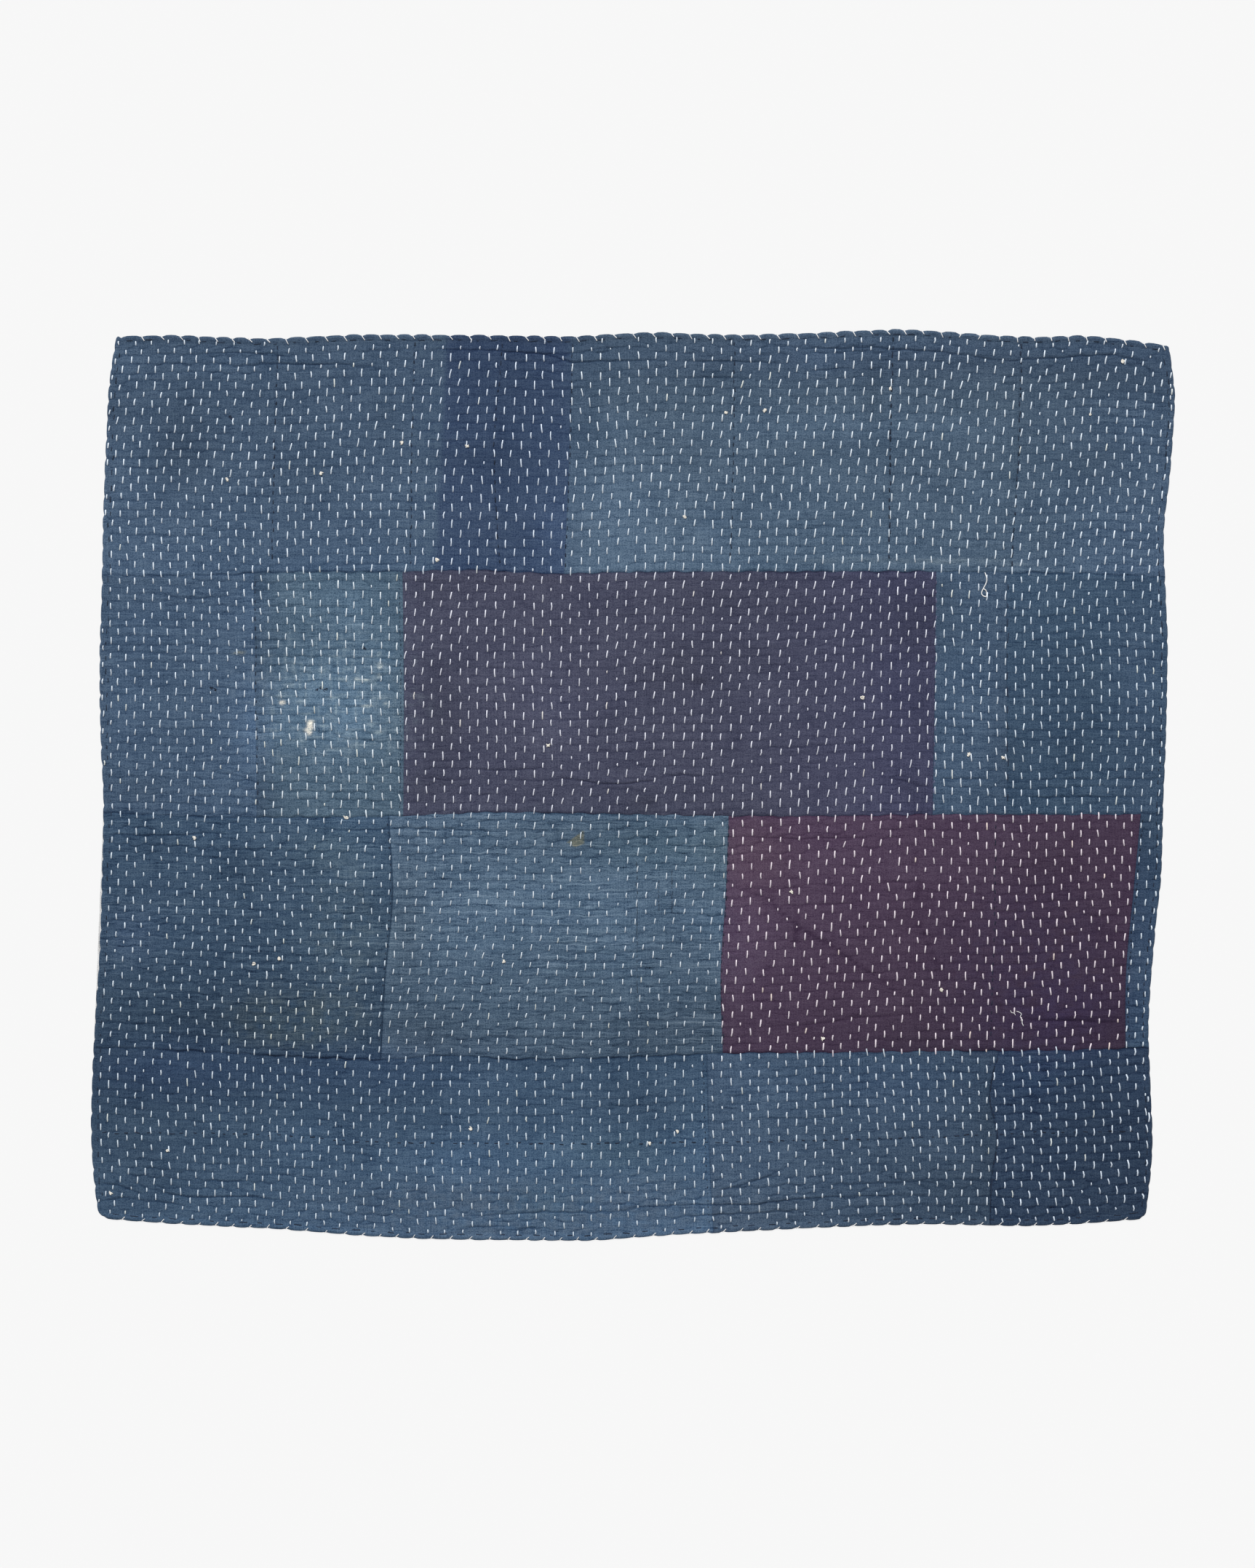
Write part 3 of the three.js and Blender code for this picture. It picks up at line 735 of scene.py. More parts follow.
def scallop_depth(place, depth):
    """How far a hem's edge is drawn in: most at a notch, and swelling out between notches."""
    along, tightness = scallop(place)
    swell = smooth_step(*SWELL_STARTS, along) * (1 - smooth_step(*SWELL_ENDS, along))
    return depth * tightness * (SCALLOP_INSIDE - swell)


def pinch(place, inside):
    """How much a whip stitch flattens the hem near a notch."""
    along, _ = scallop(place)
    from_notch = SCALLOP_PITCH * np.minimum(along, 1 - along)
    pulled = PINCH_DEPTH * np.exp(-(from_notch / PINCH_WIDTH) ** 2)
    return pulled * np.clip(1 - inside / PINCH_REACH, 0, 1)


hem_profile = smooth_line([(HEM_CREST, HEM_HEIGHT), (HEM_STITCH, HEM_STITCH_HEIGHT),
                           (HEM_WIDTH, CLOTH_HEIGHT)])


def hem_height(away, open_height):
    """Height of the rolled hem at a distance in from its outer edge."""
    round_part = np.sqrt(np.clip(1 - (1 - np.clip(away / HEM_CREST, 0, 1)) ** 2, 0, 1))
    crest = HEM_EDGE_HEIGHT + (HEM_HEIGHT - HEM_EDGE_HEIGHT) * round_part
    rolled = np.where(away < HEM_CREST, crest, hem_profile(away))
    flat = np.clip(away / HEM_WIDTH, 0, 1) ** 2
    relief = (open_height - CLOTH_HEIGHT) * np.clip(away / HEM_CREST, 0.0, 1.0)
    return rolled * (1 - flat) + CLOTH_HEIGHT * flat + relief


def cloth_height(x, y, away):
    """Height of the cloth's face at points that lie so far in from the hem's outer edge."""
    open_height = sample(OPEN_HEIGHT, x, y)
    return np.where(away < HEM_WIDTH, hem_height(np.maximum(away, 0), open_height), open_height)


def surface_height(x, y):
    """Height of the cloth's face anywhere on the blanket."""
    away = np.minimum(np.minimum(x - left_edge(y), right_edge(y) - x),
                      np.minimum(top_edge(x) - y, y - bottom_edge(x)))
    return cloth_height(x, y, away)


# The middle of the blanket's box in its own plane, which is the frame's origin
EDGE_X = np.linspace(-700, 700, 2801)
EDGE_Y = np.linspace(-590, 600, 1191)
ORIGIN_X = (left_edge(EDGE_Y).min() + right_edge(EDGE_Y).max()) / 2
ORIGIN_Y = ((top_edge(EDGE_X) - scallop_depth(EDGE_X, SOLID_SCALLOP)).max()
            + (bottom_edge(EDGE_X) + scallop_depth(EDGE_X, SOLID_SCALLOP)).min()) / 2


# Soft differences of shade in the dye, band by band: middle, half size and how much lighter or darker
SHADES = [
    (-540, 582, 80, 18, 0.12), (-620, 465, 50, 65, -0.22), (-715, 512, 30, 28, -0.12),
    (-345, 505, 25, 30, -0.12), (-450, 420, 60, 60, -0.10), (-210, 446, 110, 24, -0.11),
    (-113, 356, 25, 30, 0.18), (-25, 375, 60, 75, 0.22), (85, 440, 35, 25, -0.06),
    (112, 356, 25, 25, 0.10), (170, 580, 120, 28, -0.16), (270, 493, 160, 22, 0.15),
    (330, 530, 12, 60, -0.14), (380, 577, 110, 28, -0.19), (540, 470, 20, 60, -0.08),
    (640, 565, 110, 28, -0.18), (500, 585, 90, 22, -0.12), (630, 440, 45, 35, -0.14),
    (562, 335, 28, 45, -0.12), (-698, 582, 25, 22, 0.12), (247, 582, 22, 20, 0.12),
    (-23, 492, 22, 25, 0.12), (450, 490, 85, 22, 0.10), (697, 492, 25, 25, 0.13),
    (472, 402, 22, 25, 0.13),

    (-698, 120, 30, 75, 0.13), (-680, 222, 40, 25, 0.11), (-675, -4, 40, 20, -0.12),
    (-515, 70, 32, 45, 0.28), (-440, 100, 85, 75, 0.38), (-370, 150, 40, 50, 0.12),
    (-400, 260, 80, 30, 0.10), (-342, 176, 18, 22, 0.14), (-265, 95, 38, 100, -0.20),
    (-290, -5, 25, 20, -0.15), (-270, 266, 40, 20, -0.11), (-105, 95, 45, 45, 0.15),
    (10, -25, 25, 18, -0.16), (20, -22, 12, 9, -0.15), (50, 148, 70, 18, -0.12),
    (90, 143, 14, 7, -0.22), (150, 178, 50, 22, -0.10), (140, 250, 90, 25, -0.08),
    (385, 225, 70, 48, -0.24), (382, -4, 25, 18, -0.14), (396, 95, 24, 120, -0.12),
    (427, 266, 20, 20, -0.14), (468, 120, 35, 80, 0.13), (430, 20, 40, 40, 0.06),
    (620, 130, 60, 90, -0.07), (697, 130, 30, 55, 0.14), (-383, 235, 30, 35, 0.15),
    (-518, 250, 22, 35, 0.18), (-140, 155, 45, 45, 0.10), (-23, 132, 25, 25, 0.10),
    (517, 42, 20, 25, -0.12), (-473, 42, 22, 22, -0.10), (67, 176, 25, 20, -0.12),
    (-383, 86, 25, 25, 0.14), (607, 42, 25, 22, -0.10),

    (-675, -205, 60, 35, 0.15), (-585, -325, 85, 38, -0.16), (-480, -300, 90, 60, -0.06),
    (-408, -75, 50, 45, 0.22), (-405, -215, 45, 95, 0.34), (-290, -340, 75, 38, -0.20),
    (-225, -205, 60, 70, 0.12), (-312, -190, 25, 95, -0.18), (-368, -110, 25, 50, 0.08),
    (-60, -168, 130, 40, 0.13), (-425, -275, 25, 22, 0.15), (-40, -70, 170, 30, -0.22),
    (-20, -225, 35, 60, 0.14), (90, -184, 35, 25, 0.14), (-150, -190, 70, 60, 0.10),
    (-698, -215, 25, 35, 0.15), (590, -320, 90, 50, -0.14), (112, -80, 16, 35, -0.12),
    (-653, -75, 35, 35, -0.12), (-540, -115, 45, 40, -0.13), (-400, -190, 35, 30, 0.08),
    (50, -335, 100, 40, -0.14), (108, -295, 22, 40, -0.11), (150, -185, 42, 135, 0.17),
    (540, -200, 70, 110, -0.06), (385, -350, 40, 26, -0.16), (562, -110, 32, 42, -0.12),

    (-620, -410, 120, 35, -0.14), (-680, -498, 45, 26, -0.10), (-455, -485, 45, 35, 0.18),
    (-383, -405, 50, 24, -0.08), (-300, -600, 260, 22, 0.12), (-220, -515, 140, 40, 0.14),
    (-160, -408, 65, 26, 0.09), (-80, -530, 80, 45, 0.10), (30, -445, 75, 35, -0.15),
    (50, -548, 40, 28, -0.10), (190, -420, 50, 30, 0.08), (202, -585, 35, 20, -0.11),
    (487, -480, 14, 110, -0.14), (420, -545, 70, 30, -0.08), (562, -408, 30, 22, 0.13),
    (640, -500, 60, 60, -0.06), (-563, -454, 22, 22, 0.11), (-248, -525, 35, 38, 0.13),
    (-90, -498, 45, 22, 0.09), (105, -498, 60, 24, 0.11), (450, -498, 40, 22, 0.10),
    (-15, -430, 42, 35, -0.10), (-655, -545, 55, 25, -0.12), (697, -408, 22, 25, 0.12),
]

# Soft differences of hue: middle, half size, and how much more red and blue
TINTS = [
    (330, 590, 360, 35, -0.03, 0.10), (-180, 345, 160, 60, 0.04, -0.04), (300, 0, 110, 60, 0.03, 0.00),
    (-420, -86, 60, 35, 0.06, -0.09), (165, -100, 60, 70, 0.03, -0.09), (600, -320, 80, 50, 0.00, 0.17),
    (-470, -330, 90, 40, -0.11, 0.06), (-640, -390, 110, 40, -0.04, 0.16),
    (-380, -390, 160, 35, -0.03, 0.10), (380, -410, 110, 60, -0.05, 0.07),
    (540, -390, 70, 35, -0.10, 0.03), (-30, -505, 90, 30, 0.03, -0.08),
    (-120, -570, 60, 30, -0.07, 0.00), (690, -180, 40, 130, 0.05, 0.07),
    (-690, -206, 40, 40, 0.08, 0.00), (-410, 150, 90, 150, -0.05, 0.04),
    (-400, -200, 70, 110, 0.02, -0.06), (690, 130, 35, 160, 0.05, 0.00),
    (40, -85, 90, 35, -0.05, -0.03),
]

# Colours of bleached, stained and worn places, as linear colours
CREAM = (0.98, 0.90, 0.76)
PALE = (0.54, 0.59, 0.58)
FAINT = (0.34, 0.42, 0.46)
TAN = (0.24, 0.22, 0.11)
OLIVE = (0.150, 0.145, 0.090)
OCHRE = (0.078, 0.090, 0.080)
TEAL = (0.070, 0.130, 0.180)
VIOLET = (0.039, 0.029, 0.070)
DUST = (0.092, 0.105, 0.125)

# Bleached, stained and worn places: middle, half size, strength and colour
SPOTS = [
    (-443, 82, 5.0, 6.0, 1.0, CREAM), (-447, 73, 5.5, 5.0, 1.0, CREAM),
    (-482, 113, 3.8, 3.4, 0.95, CREAM), (-455, 114, 7.0, 4.0, 0.45, FAINT),
    (-380, 145, 4.5, 2.6, 1.0, PALE), (-369, 144, 8.0, 1.6, 0.75, PALE),
    (-349, 179, 3.5, 5.0, 0.45, FAINT), (-348, 164, 4.0, 5.0, 0.60, PALE),
    (-350, 150, 3.0, 4.0, 0.50, PALE), (-373, 127, 7.0, 2.0, 0.40, FAINT),
    (-366, 108, 8.0, 2.0, 0.60, PALE), (-341, 112, 3.0, 2.5, 0.55, PALE),
    (-389, 70, 7.0, 2.5, 0.60, FAINT), (-350, 72, 7.0, 2.5, 0.55, FAINT),
    (-456, 159, 1.8, 12.0, 0.28, FAINT), (-445, 149, 1.8, 10.0, 0.28, FAINT),
    (-379, 148, 1.8, 13.0, 0.25, FAINT), (-418, 92, 14.0, 4.0, 0.18, FAINT),
    (-460, 60, 14.0, 3.0, 0.20, FAINT), (-541, 180, 7.5, 3.6, 0.80, TAN),
    (285, 308, 75.0, 6.0, 0.09, FAINT), (440, 307, 80.0, 4.5, 0.16, FAINT),
    (525, 303, 18.0, 2.6, 0.16, FAINT), (-465, -325, 95.0, 46.0, 0.34, OCHRE),
    (-110, -200, 230.0, 150.0, 0.15, TEAL), (545, -260, 120.0, 130.0, 0.42, VIOLET),
    (-400, -210, 50.0, 110.0, 0.20, OCHRE), (-120, -585, 300.0, 50.0, 0.25, DUST),
]

# Panels whose left part keeps another dye, or whose right part does where the softness is negative: which,
# where the dyes meet at its head and foot, and how softly
DYE_RUNS = {
    "top_3": ("indigo_mid", -256, -272, 1.2),
    "top_4": ("indigo_mid", -88, -70, -5.0),
    "top_5": ("indigo_mid", -45, -80, 14.0),
    "top_8": ("indigo_light", 610, 590, 35.0),
    "upper_2": ("indigo_mid", -497, -497, 10.0),
    "upper_3": ("blue_purple", 290, 290, -60.0),
}

# The corners of an olive patch where the blue cloth is worn through, and how far it covers the blue
OLIVE_PATCH = [(-90.5, -79.0), (-68.5, -63.0), (-67.5, -81.0), (-80.5, -86.0)]
OLIVE_COVER = 0.68
OLIVE_EDGE = 0.9

# The bleached place: middle and half size, and how far pale wisps cover it
BLEACHED_X, BLEACHED_Y = -415, 112
BLEACHED_HALF_X, BLEACHED_HALF_Y = 90, 85
WISP_COVER = 0.25

# How sharply spots end, how strongly the dye is mottled, and how much the painted shade in furrows darkens
# the cloth
SPOT_EDGE = 1.7
MOTTLE_DEPTH = 0.065
PAINTED_SHADE_STRENGTH = 0.66

STREAKS = 0.7 * noise(9, 2.5) + 0.7 * noise(2.5, 9)
WEFT_WISPS = noise(11, 1.9)
WARP_WISPS = noise(2.2, 10)
MOTTLE = 0.35 * noise(45, 30) + 0.6 * noise(14, 12) + 0.4 * noise(80, 5)


def blend(colours, other, share):
    """Colours that go over to another one by a share."""
    return colours + (np.asarray(other) - colours) * share[:, None]


def shade_gain(panel, x, y, across, up):
    """How much lighter or darker than its dye a panel's cloth is at its points."""
    gain = panel["fade"] * (panel["foot"] + (panel["head"] - panel["foot"]) * up)
    gain = gain * (panel["left"] + (panel["right"] - panel["left"]) * across)
    for spot_x, spot_y, half_x, half_y, change in SHADES:
        gain = gain * (1 + change * bell(x - spot_x, y - spot_y, half_x, half_y))
    return gain


def wisp_cover(x, y):
    """How far pale wisps cover the cloth, round the bleached place."""
    bleached = bell(x - BLEACHED_X, y - BLEACHED_Y, BLEACHED_HALF_X, BLEACHED_HALF_Y)
    wisps = np.clip(sample(WEFT_WISPS, x, y) - 0.5, 0, 2)
    wisps = wisps + np.clip(sample(WARP_WISPS, x, y) - 0.5, 0, 2)
    return np.clip(WISP_COVER * bleached * wisps, 0, 0.7)


def olive_cover(x, y):
    """How far the olive patch covers the blue cloth."""
    cover = np.full(len(x), OLIVE_COVER)
    for (x0, y0), (x1, y1) in zip(OLIVE_PATCH, OLIVE_PATCH[1:] + OLIVE_PATCH[:1]):
        inside = ((y1 - y0) * (x - x0) - (x1 - x0) * (y - y0)) / math.hypot(x1 - x0, y1 - y0)
        cover = cover * smooth_step(-OLIVE_EDGE, OLIVE_EDGE, inside)
    return cover


def dye_and_painted_shade(panel, x, y, across, up):
    """The dyed, faded and stained colour of a panel's cloth at its points, with painted shade in furrows,
    creases and seams.
    """
    powers = channel_powers(panel["dye"])[None, :]
    mottle = 1 + MOTTLE_DEPTH * sample(MOTTLE, x, y)
    gain = shade_gain(panel, x, y, across, up)[:, None] * mottle[:, None] ** powers
    colour = np.array(DYES[panel["dye"]])[None, :] * gain
    if panel["name"] in DYE_RUNS:
        dye, head_x, foot_x, softness = DYE_RUNS[panel["name"]]
        run = 1 / (1 + np.exp((x - foot_x - (head_x - foot_x) * up) / softness))
        colour = blend(colour, np.array(DYES[dye])[None, :] * gain, run)
    colour = blend(colour, FAINT, wisp_cover(x, y))
    colour = blend(colour, OLIVE, olive_cover(x, y))
    threadbare = np.clip(0.85 + 0.3 * sample(STREAKS, x, y), 0, 1.15)
    open_cloth = np.ones(len(x))
    for spot_x, spot_y, half_x, half_y, strength, spot_colour in SPOTS:
        cover = np.exp(-(((x - spot_x) / half_x) ** 2 + ((y - spot_y) / half_y) ** 2) ** SPOT_EDGE)
        cover = np.clip(strength * cover * threadbare, 0, 1)
        colour = blend(colour, spot_colour, cover)
        if spot_colour is CREAM:
            open_cloth = open_cloth * (1 - 0.7 * cover)
    for spot_x, spot_y, half_x, half_y, red, blue in TINTS:
        near = bell(x - spot_x, y - spot_y, half_x, half_y)
        colour = colour * (1 + near[:, None] * np.array([red, 0.0, blue])[None, :])
    # Painted shade of the furrows, creases, seams and stitch ends darkens the colour, less under the cream
    # spots
    lit = 1 - PAINTED_SHADE_STRENGTH * sample(FURROW_SHADE, x, y) * open_cloth
    return colour * lit[:, None] ** powers


def even_steps(start, end, step):
    """Even steps between two distances, both included."""
    return np.linspace(start, end, max(int(round((end - start) / step)), 1) + 1)


def rows_up(panel, height):
    """Shares of a panel's height at which it has rows of points, and which rows lie inside its strip."""
    foot = HEM_ROWS if panel["hem"]["lower"] else SEAM_ROWS
    head = HEM_ROWS if panel["hem"]["upper"] else SEAM_ROWS
    end, near, far = panel["strip"]
    low, high = (near, far) if end == "foot" else (height - far, height - near)
    step = WORN_STEP_Y if panel["dye"] == "indigo_pale" else STEP_Y
    rows = np.concatenate([foot, even_steps(foot[-1], low, step), even_steps(low, high, FINE_STEP_Y),
                           even_steps(high, height - head[-1], step), height - np.array(head)])
    rows = np.unique(np.round(rows, 4))
    return rows / height, (rows > low + 0.01) & (rows < high - 0.01)


def columns_across(panel, left, width):
    """Shares of a panel's width at which it has columns of points, in step with the notches of a hem."""
    start = HEM_ROWS if panel["hem"]["left"] else SEAM_ROWS
    end = HEM_ROWS if panel["hem"]["right"] else SEAM_ROWS
    if panel["hem"]["upper"] or panel["hem"]["lower"]:
        index = np.arange(math.floor(left / SCALLOP_PITCH) - 1,
                          math.ceil((left + width) / SCALLOP_PITCH) + 1)
        middle = notch_at(np.add.outer(index, SCALLOP_SHARES).ravel()) - left
        middle = middle[(middle > start[-1] + 1) & (middle < width - end[-1] - 1)]
    else:
        step = WORN_STEP_X if panel["dye"] == "indigo_pale" else STEP_X
        middle = even_steps(start[-1], width - end[-1], step)
    columns = np.concatenate([start, middle, width - np.array(end)])
    return np.unique(np.round(columns, 4)) / width


def round_corner(x, y, in_x, in_y, radius, toward_x, toward_y):
    """Rounds a corner where two outer edges meet."""
    a = np.clip(1 - in_x / radius, 0, 1)
    b = np.clip(1 - in_y / radius, 0, 1)
    x = x + toward_x * radius * (a - a * np.sqrt(1 - b * b / 2))
    y = y + toward_y * radius * (b - b * np.sqrt(1 - a * a / 2))
    return x, y


# The direction inward from each side of the blanket
INWARD = {"left": (1, 0), "right": (-1, 0), "lower": (0, 1), "upper": (0, -1)}


def panel_points(panel, across, up):
    """Places of a panel's points, how far in from the hem each lies, and how much it is pinched there."""
    border, hem = panel["border"], panel["hem"]
    x = np.full(across.shape, float(border["left"](0.0)))
    for _ in range(6):
        low, high = border["lower"](x), border["upper"](x)
        y = low + (high - low) * up
        left, right = border["left"](y), border["right"](y)
        x = left + (right - left) * across
    inside = {"left": x - left, "right": right - x, "upper": high - y, "lower": y - low}
    away = np.full(x.shape, FAR)
    pinched = np.zeros(x.shape)
    shift_x, shift_y = np.zeros(x.shape), np.zeros(x.shape)
    for side, (inward_x, inward_y) in INWARD.items():
        if hem[side]:
            place = x if inward_x == 0 else y
            drawn = scallop_depth(place, SCALLOPS[side]) * np.clip(1 - inside[side] / SCALLOP_REACH, 0, 1)
            shift_x += inward_x * drawn
            shift_y += inward_y * drawn
            away = np.minimum(away, inside[side])
            pinched = np.maximum(pinched, pinch(place, inside[side]))
    x, y = x + shift_x, y + shift_y
    for (side, end), radius in CORNERS.items():
        if hem[side] and hem[end]:
            x, y = round_corner(x, y, inside[side], inside[end], radius,
                                INWARD[side][0], INWARD[end][1])
    return x, y, away, pinched


def first_of(sizes):
    """Where each run of a list begins, from the sizes of the runs."""
    return np.concatenate([[0], np.cumsum(sizes)[:-1]])


def make_object(name, points, faces, material, colours, face_uvs):
    """A smooth mesh object from points in millimetres and faces of any number of corners."""
    mesh = bpy.data.meshes.new(name)
    corners = np.concatenate([face.ravel() for face in faces])
    sizes = np.concatenate([np.full(len(face), face.shape[1]) for face in faces])
    mesh.vertices.add(len(points))
    shifted = (points - np.array([ORIGIN_X, ORIGIN_Y, 0.0])) * MM
    mesh.vertices.foreach_set("co", shifted.astype(np.float32).ravel())
    mesh.loops.add(len(corners))
    mesh.loops.foreach_set("vertex_index", corners.astype(np.int32))
    mesh.polygons.add(len(sizes))
    mesh.polygons.foreach_set("loop_start", first_of(sizes).astype(np.int32))
    mesh.polygons.foreach_set("use_smooth", np.ones(len(sizes), bool))
    mesh.update(calc_edges=True)
    # On the cloth the colour named dye holds painted shade in furrows, creases and seams as well as the dye
    dyes = mesh.attributes.new("dye", "FLOAT_COLOR", "POINT")
    rgba = np.concatenate([colours, np.ones((len(colours), 1))], axis=1)
    dyes.data.foreach_set("color", rgba.astype(np.float32).ravel())
    places = mesh.uv_layers.new(name="OFBake")
    places.data.foreach_set("uv", np.concatenate(face_uvs).astype(np.float32).ravel())
    mesh.materials.append(material)
    obj = bpy.data.objects.new(name, mesh)
    bpy.context.scene.collection.objects.link(obj)
    return obj


def node(tree, kind, **values):
    """A shader node with its settings and its unlinked inputs."""
    made = tree.nodes.new(kind)
    for key, value in values.items():
        if key in made.inputs:
            made.inputs[key].default_value = value
        else:
            setattr(made, key, value)
    return made


def streak(tree, place, scale, detail=2.0):
    """Noise that is stretched along the threads of the weave."""
    mapping = node(tree, "ShaderNodeMapping", Scale=scale)
    tree.links.new(place, mapping.inputs["Vector"])
    grain = node(tree, "ShaderNodeTexNoise", Scale=1.0, Detail=detail, Roughness=0.6)
    tree.links.new(mapping.outputs["Vector"], grain.inputs["Vector"])
    return grain.outputs["Fac"]


def worked(tree, kind, operation, *values):
    """The result of an operation on numbers and on other nodes' outputs."""
    made = node(tree, kind, operation=operation)
    for socket, value in zip(made.inputs, values):
        if isinstance(value, bpy.types.NodeSocket):
            tree.links.new(value, socket)
        else:
            socket.default_value = value
    return made.outputs[0]


def add_scaled(tree, value, factor, total):
    """A value times a factor, added to a total that is a number or another value."""
    return worked(tree, "ShaderNodeMath", "MULTIPLY_ADD", value, factor, total)


def above(tree, value, low, high):
    """How far a value has gone from a low to a high mark: 0 below the first, 1 above the second."""
    made = node(tree, "ShaderNodeMapRange", **{"From Min": low, "From Max": high})
    tree.links.new(value, made.inputs["Value"])
    return made.outputs["Result"]


def pulled_place(tree, place):
    """Coordinates whose rows wander up and down, as weft threads do between the stitches."""
    drift = node(tree, "ShaderNodeTexNoise", Scale=42.0, Detail=1.0)
    tree.links.new(place, drift.inputs["Vector"])
    centred = worked(tree, "ShaderNodeVectorMath", "SUBTRACT", drift.outputs["Color"], (0.5, 0.5, 0.5))
    return worked(tree, "ShaderNodeVectorMath", "MULTIPLY_ADD", centred, (0.0, 0.007, 0.0), place)


# Cloth that is puckered no more than this has no painted shade of fine crease lines
SMOOTH_PUCKER = 0.35


def crease_shadow_lines(tree, place, pulled):
    """Painted shade: thin broken lines that wander along the weft, as the shadows of fine creases between
    the stitches do.
    """
    wander = streak(tree, pulled, (19.0, 150.0, 1.0), detail=1.0)
    from_line = worked(tree, "ShaderNodeMath", "ABSOLUTE", add_scaled(tree, wander, 2.0, -1.0))
    line = above(tree, from_line, 0.14, 0.02)
    broken = above(tree, streak(tree, place, (34.0, 105.0, 1.0), detail=0.0), 0.54, 0.64)
    return worked(tree, "ShaderNodeMath", "MULTIPLY", line, broken)


def new_material(name, roughness, specular):
    """A material with its node tree and its shader."""
    material = bpy.data.materials.new(name)
    material.use_nodes = True
    tree = material.node_tree
    shader = tree.nodes["Principled BSDF"]
    shader.inputs["Roughness"].default_value = roughness
    shader.inputs["Specular IOR Level"].default_value = specular
    return material, tree, shader


def add_bump(tree, shader, height, strength, distance):
    """Fine relief of the threads, from a value."""
    bump = node(tree, "ShaderNodeBump", Strength=strength, Distance=distance)
    tree.links.new(height, bump.inputs["Height"])
    tree.links.new(bump.outputs["Normal"], shader.inputs["Normal"])


# Uneven threads of the weave: how fine they are, their detail, whether the stitches pull them, how much they
# lighten and darken the cloth, and how much more so where pale weft shows
GRAINS = {
    "weft": ((18.0, 560.0, 1.0), 2.0, True, 0.38, 0.60),
    "crepe": ((60.0, 260.0, 1.0), 2.0, True, 0.40, 0.35),
    "warp": ((520.0, 22.0, 1.0), 2.0, False, 0.75, 0.0),
    "blotch": ((150.0, 170.0, 1.0), 2.0, False, 0.55, 0.0),
    "threads": ((560.0, 560.0, 1.0), 3.0, False, 2.45, 0.0),
}

# How fine the pale slubs of the weave are, and the painted shade of its fine furrows
SLUB_SCALE = (7.0, 480.0, 1.0)
FINE_FURROW_SCALE = (24.0, 270.0, 1.0)


def cloth_material(name, dye_name, pale_weft, pucker):
    """Washed plain-weave cotton: its points' dye and painted shade, uneven threads, pale slubs, and painted
    shade of fine furrows.
    """
    material, tree, shader = new_material(name, roughness=0.92, specular=0.15)
    shader.inputs["Sheen Weight"].default_value = 0.08
    shader.inputs["Sheen Roughness"].default_value = 0.5
    # The points' colour holds the painted shade of furrows, creases and seams as well as the dye
    dye = node(tree, "ShaderNodeAttribute", attribute_name="dye")
    place = node(tree, "ShaderNodeTexCoord").outputs["Object"]
    pulled = pulled_place(tree, place)
    grains, factors = {}, {}
    for grain, (scale, detail, by_stitches, factor, pale_factor) in GRAINS.items():
        grains[grain] = streak(tree, pulled if by_stitches else place, scale, detail)
        factors[grain] = factor + pale_factor * pale_weft
    gain = 1.0 - 0.5 * sum(factors.values())
    for grain, factor in factors.items():
        gain = add_scaled(tree, grains[grain], factor, gain)
    slub = above(tree, streak(tree, pulled, SLUB_SCALE, detail=0.0), 0.68 - 0.08 * pale_weft, 0.82)
    gain = add_scaled(tree, slub, 0.12 + 0.50 * pale_weft, gain)
    # Painted shade of fine furrows and crease lines, darker where the cloth is puckered
    fine_furrow_shade = above(tree, streak(tree, pulled, FINE_FURROW_SCALE, detail=1.0), 0.57, 0.74)
    gain = add_scaled(tree, fine_furrow_shade, -0.19 - 0.24 * pucker, gain)
    if pucker > SMOOTH_PUCKER:
        lines = crease_shadow_lines(tree, place, pulled)
        gain = add_scaled(tree, lines, -0.42 * (pucker - SMOOTH_PUCKER), gain)
    gains = node(tree, "ShaderNodeCombineXYZ")
    for channel, power in enumerate(channel_powers(dye_name)):
        tree.links.new(worked(tree, "ShaderNodeMath", "POWER", gain, power), gains.inputs[channel])
    colour = worked(tree, "ShaderNodeVectorMath", "MULTIPLY", dye.outputs["Color"], gains.outputs[0])
    tree.links.new(colour, shader.inputs["Base Color"])
    relief = add_scaled(tree, grains["crepe"], 2.0, grains["threads"])
    relief = add_scaled(tree, grains["weft"], 1.0, relief)
    add_bump(tree, shader, relief, strength=0.45, distance=0.0006)
    return material


def thread_material(name, roughness):
    """Loosely twisted cotton thread, coloured by its points."""
    material, tree, shader = new_material(name, roughness, specular=0.2)
    dye = node(tree, "ShaderNodeAttribute", attribute_name="dye")
    place = node(tree, "ShaderNodeTexCoord")
    grain = node(tree, "ShaderNodeTexNoise", Scale=900.0, Detail=2.0)
    tree.links.new(place.outputs["Object"], grain.inputs["Vector"])
    gain = node(tree, "ShaderNodeMapRange", **{"To Min": 0.85, "To Max": 1.08})
    tree.links.new(grain.outputs["Fac"], gain.inputs["Value"])
    colour = node(tree, "ShaderNodeVectorMath", operation="SCALE")
    tree.links.new(dye.outputs["Color"], colour.inputs[0])
    tree.links.new(gain.outputs["Result"], colour.inputs["Scale"])
    tree.links.new(colour.outputs["Vector"], shader.inputs["Base Color"])
    add_bump(tree, shader, grain.outputs["Fac"], strength=0.4, distance=0.0003)
    return material


# Down a panel's wall: how far a hem is tucked in, how far a seam reaches under its neighbour, and the
# share of the height
WALL_LEVELS = [(0.3, 0.8, 0.45), (0.9, 0.0, 0.0)]


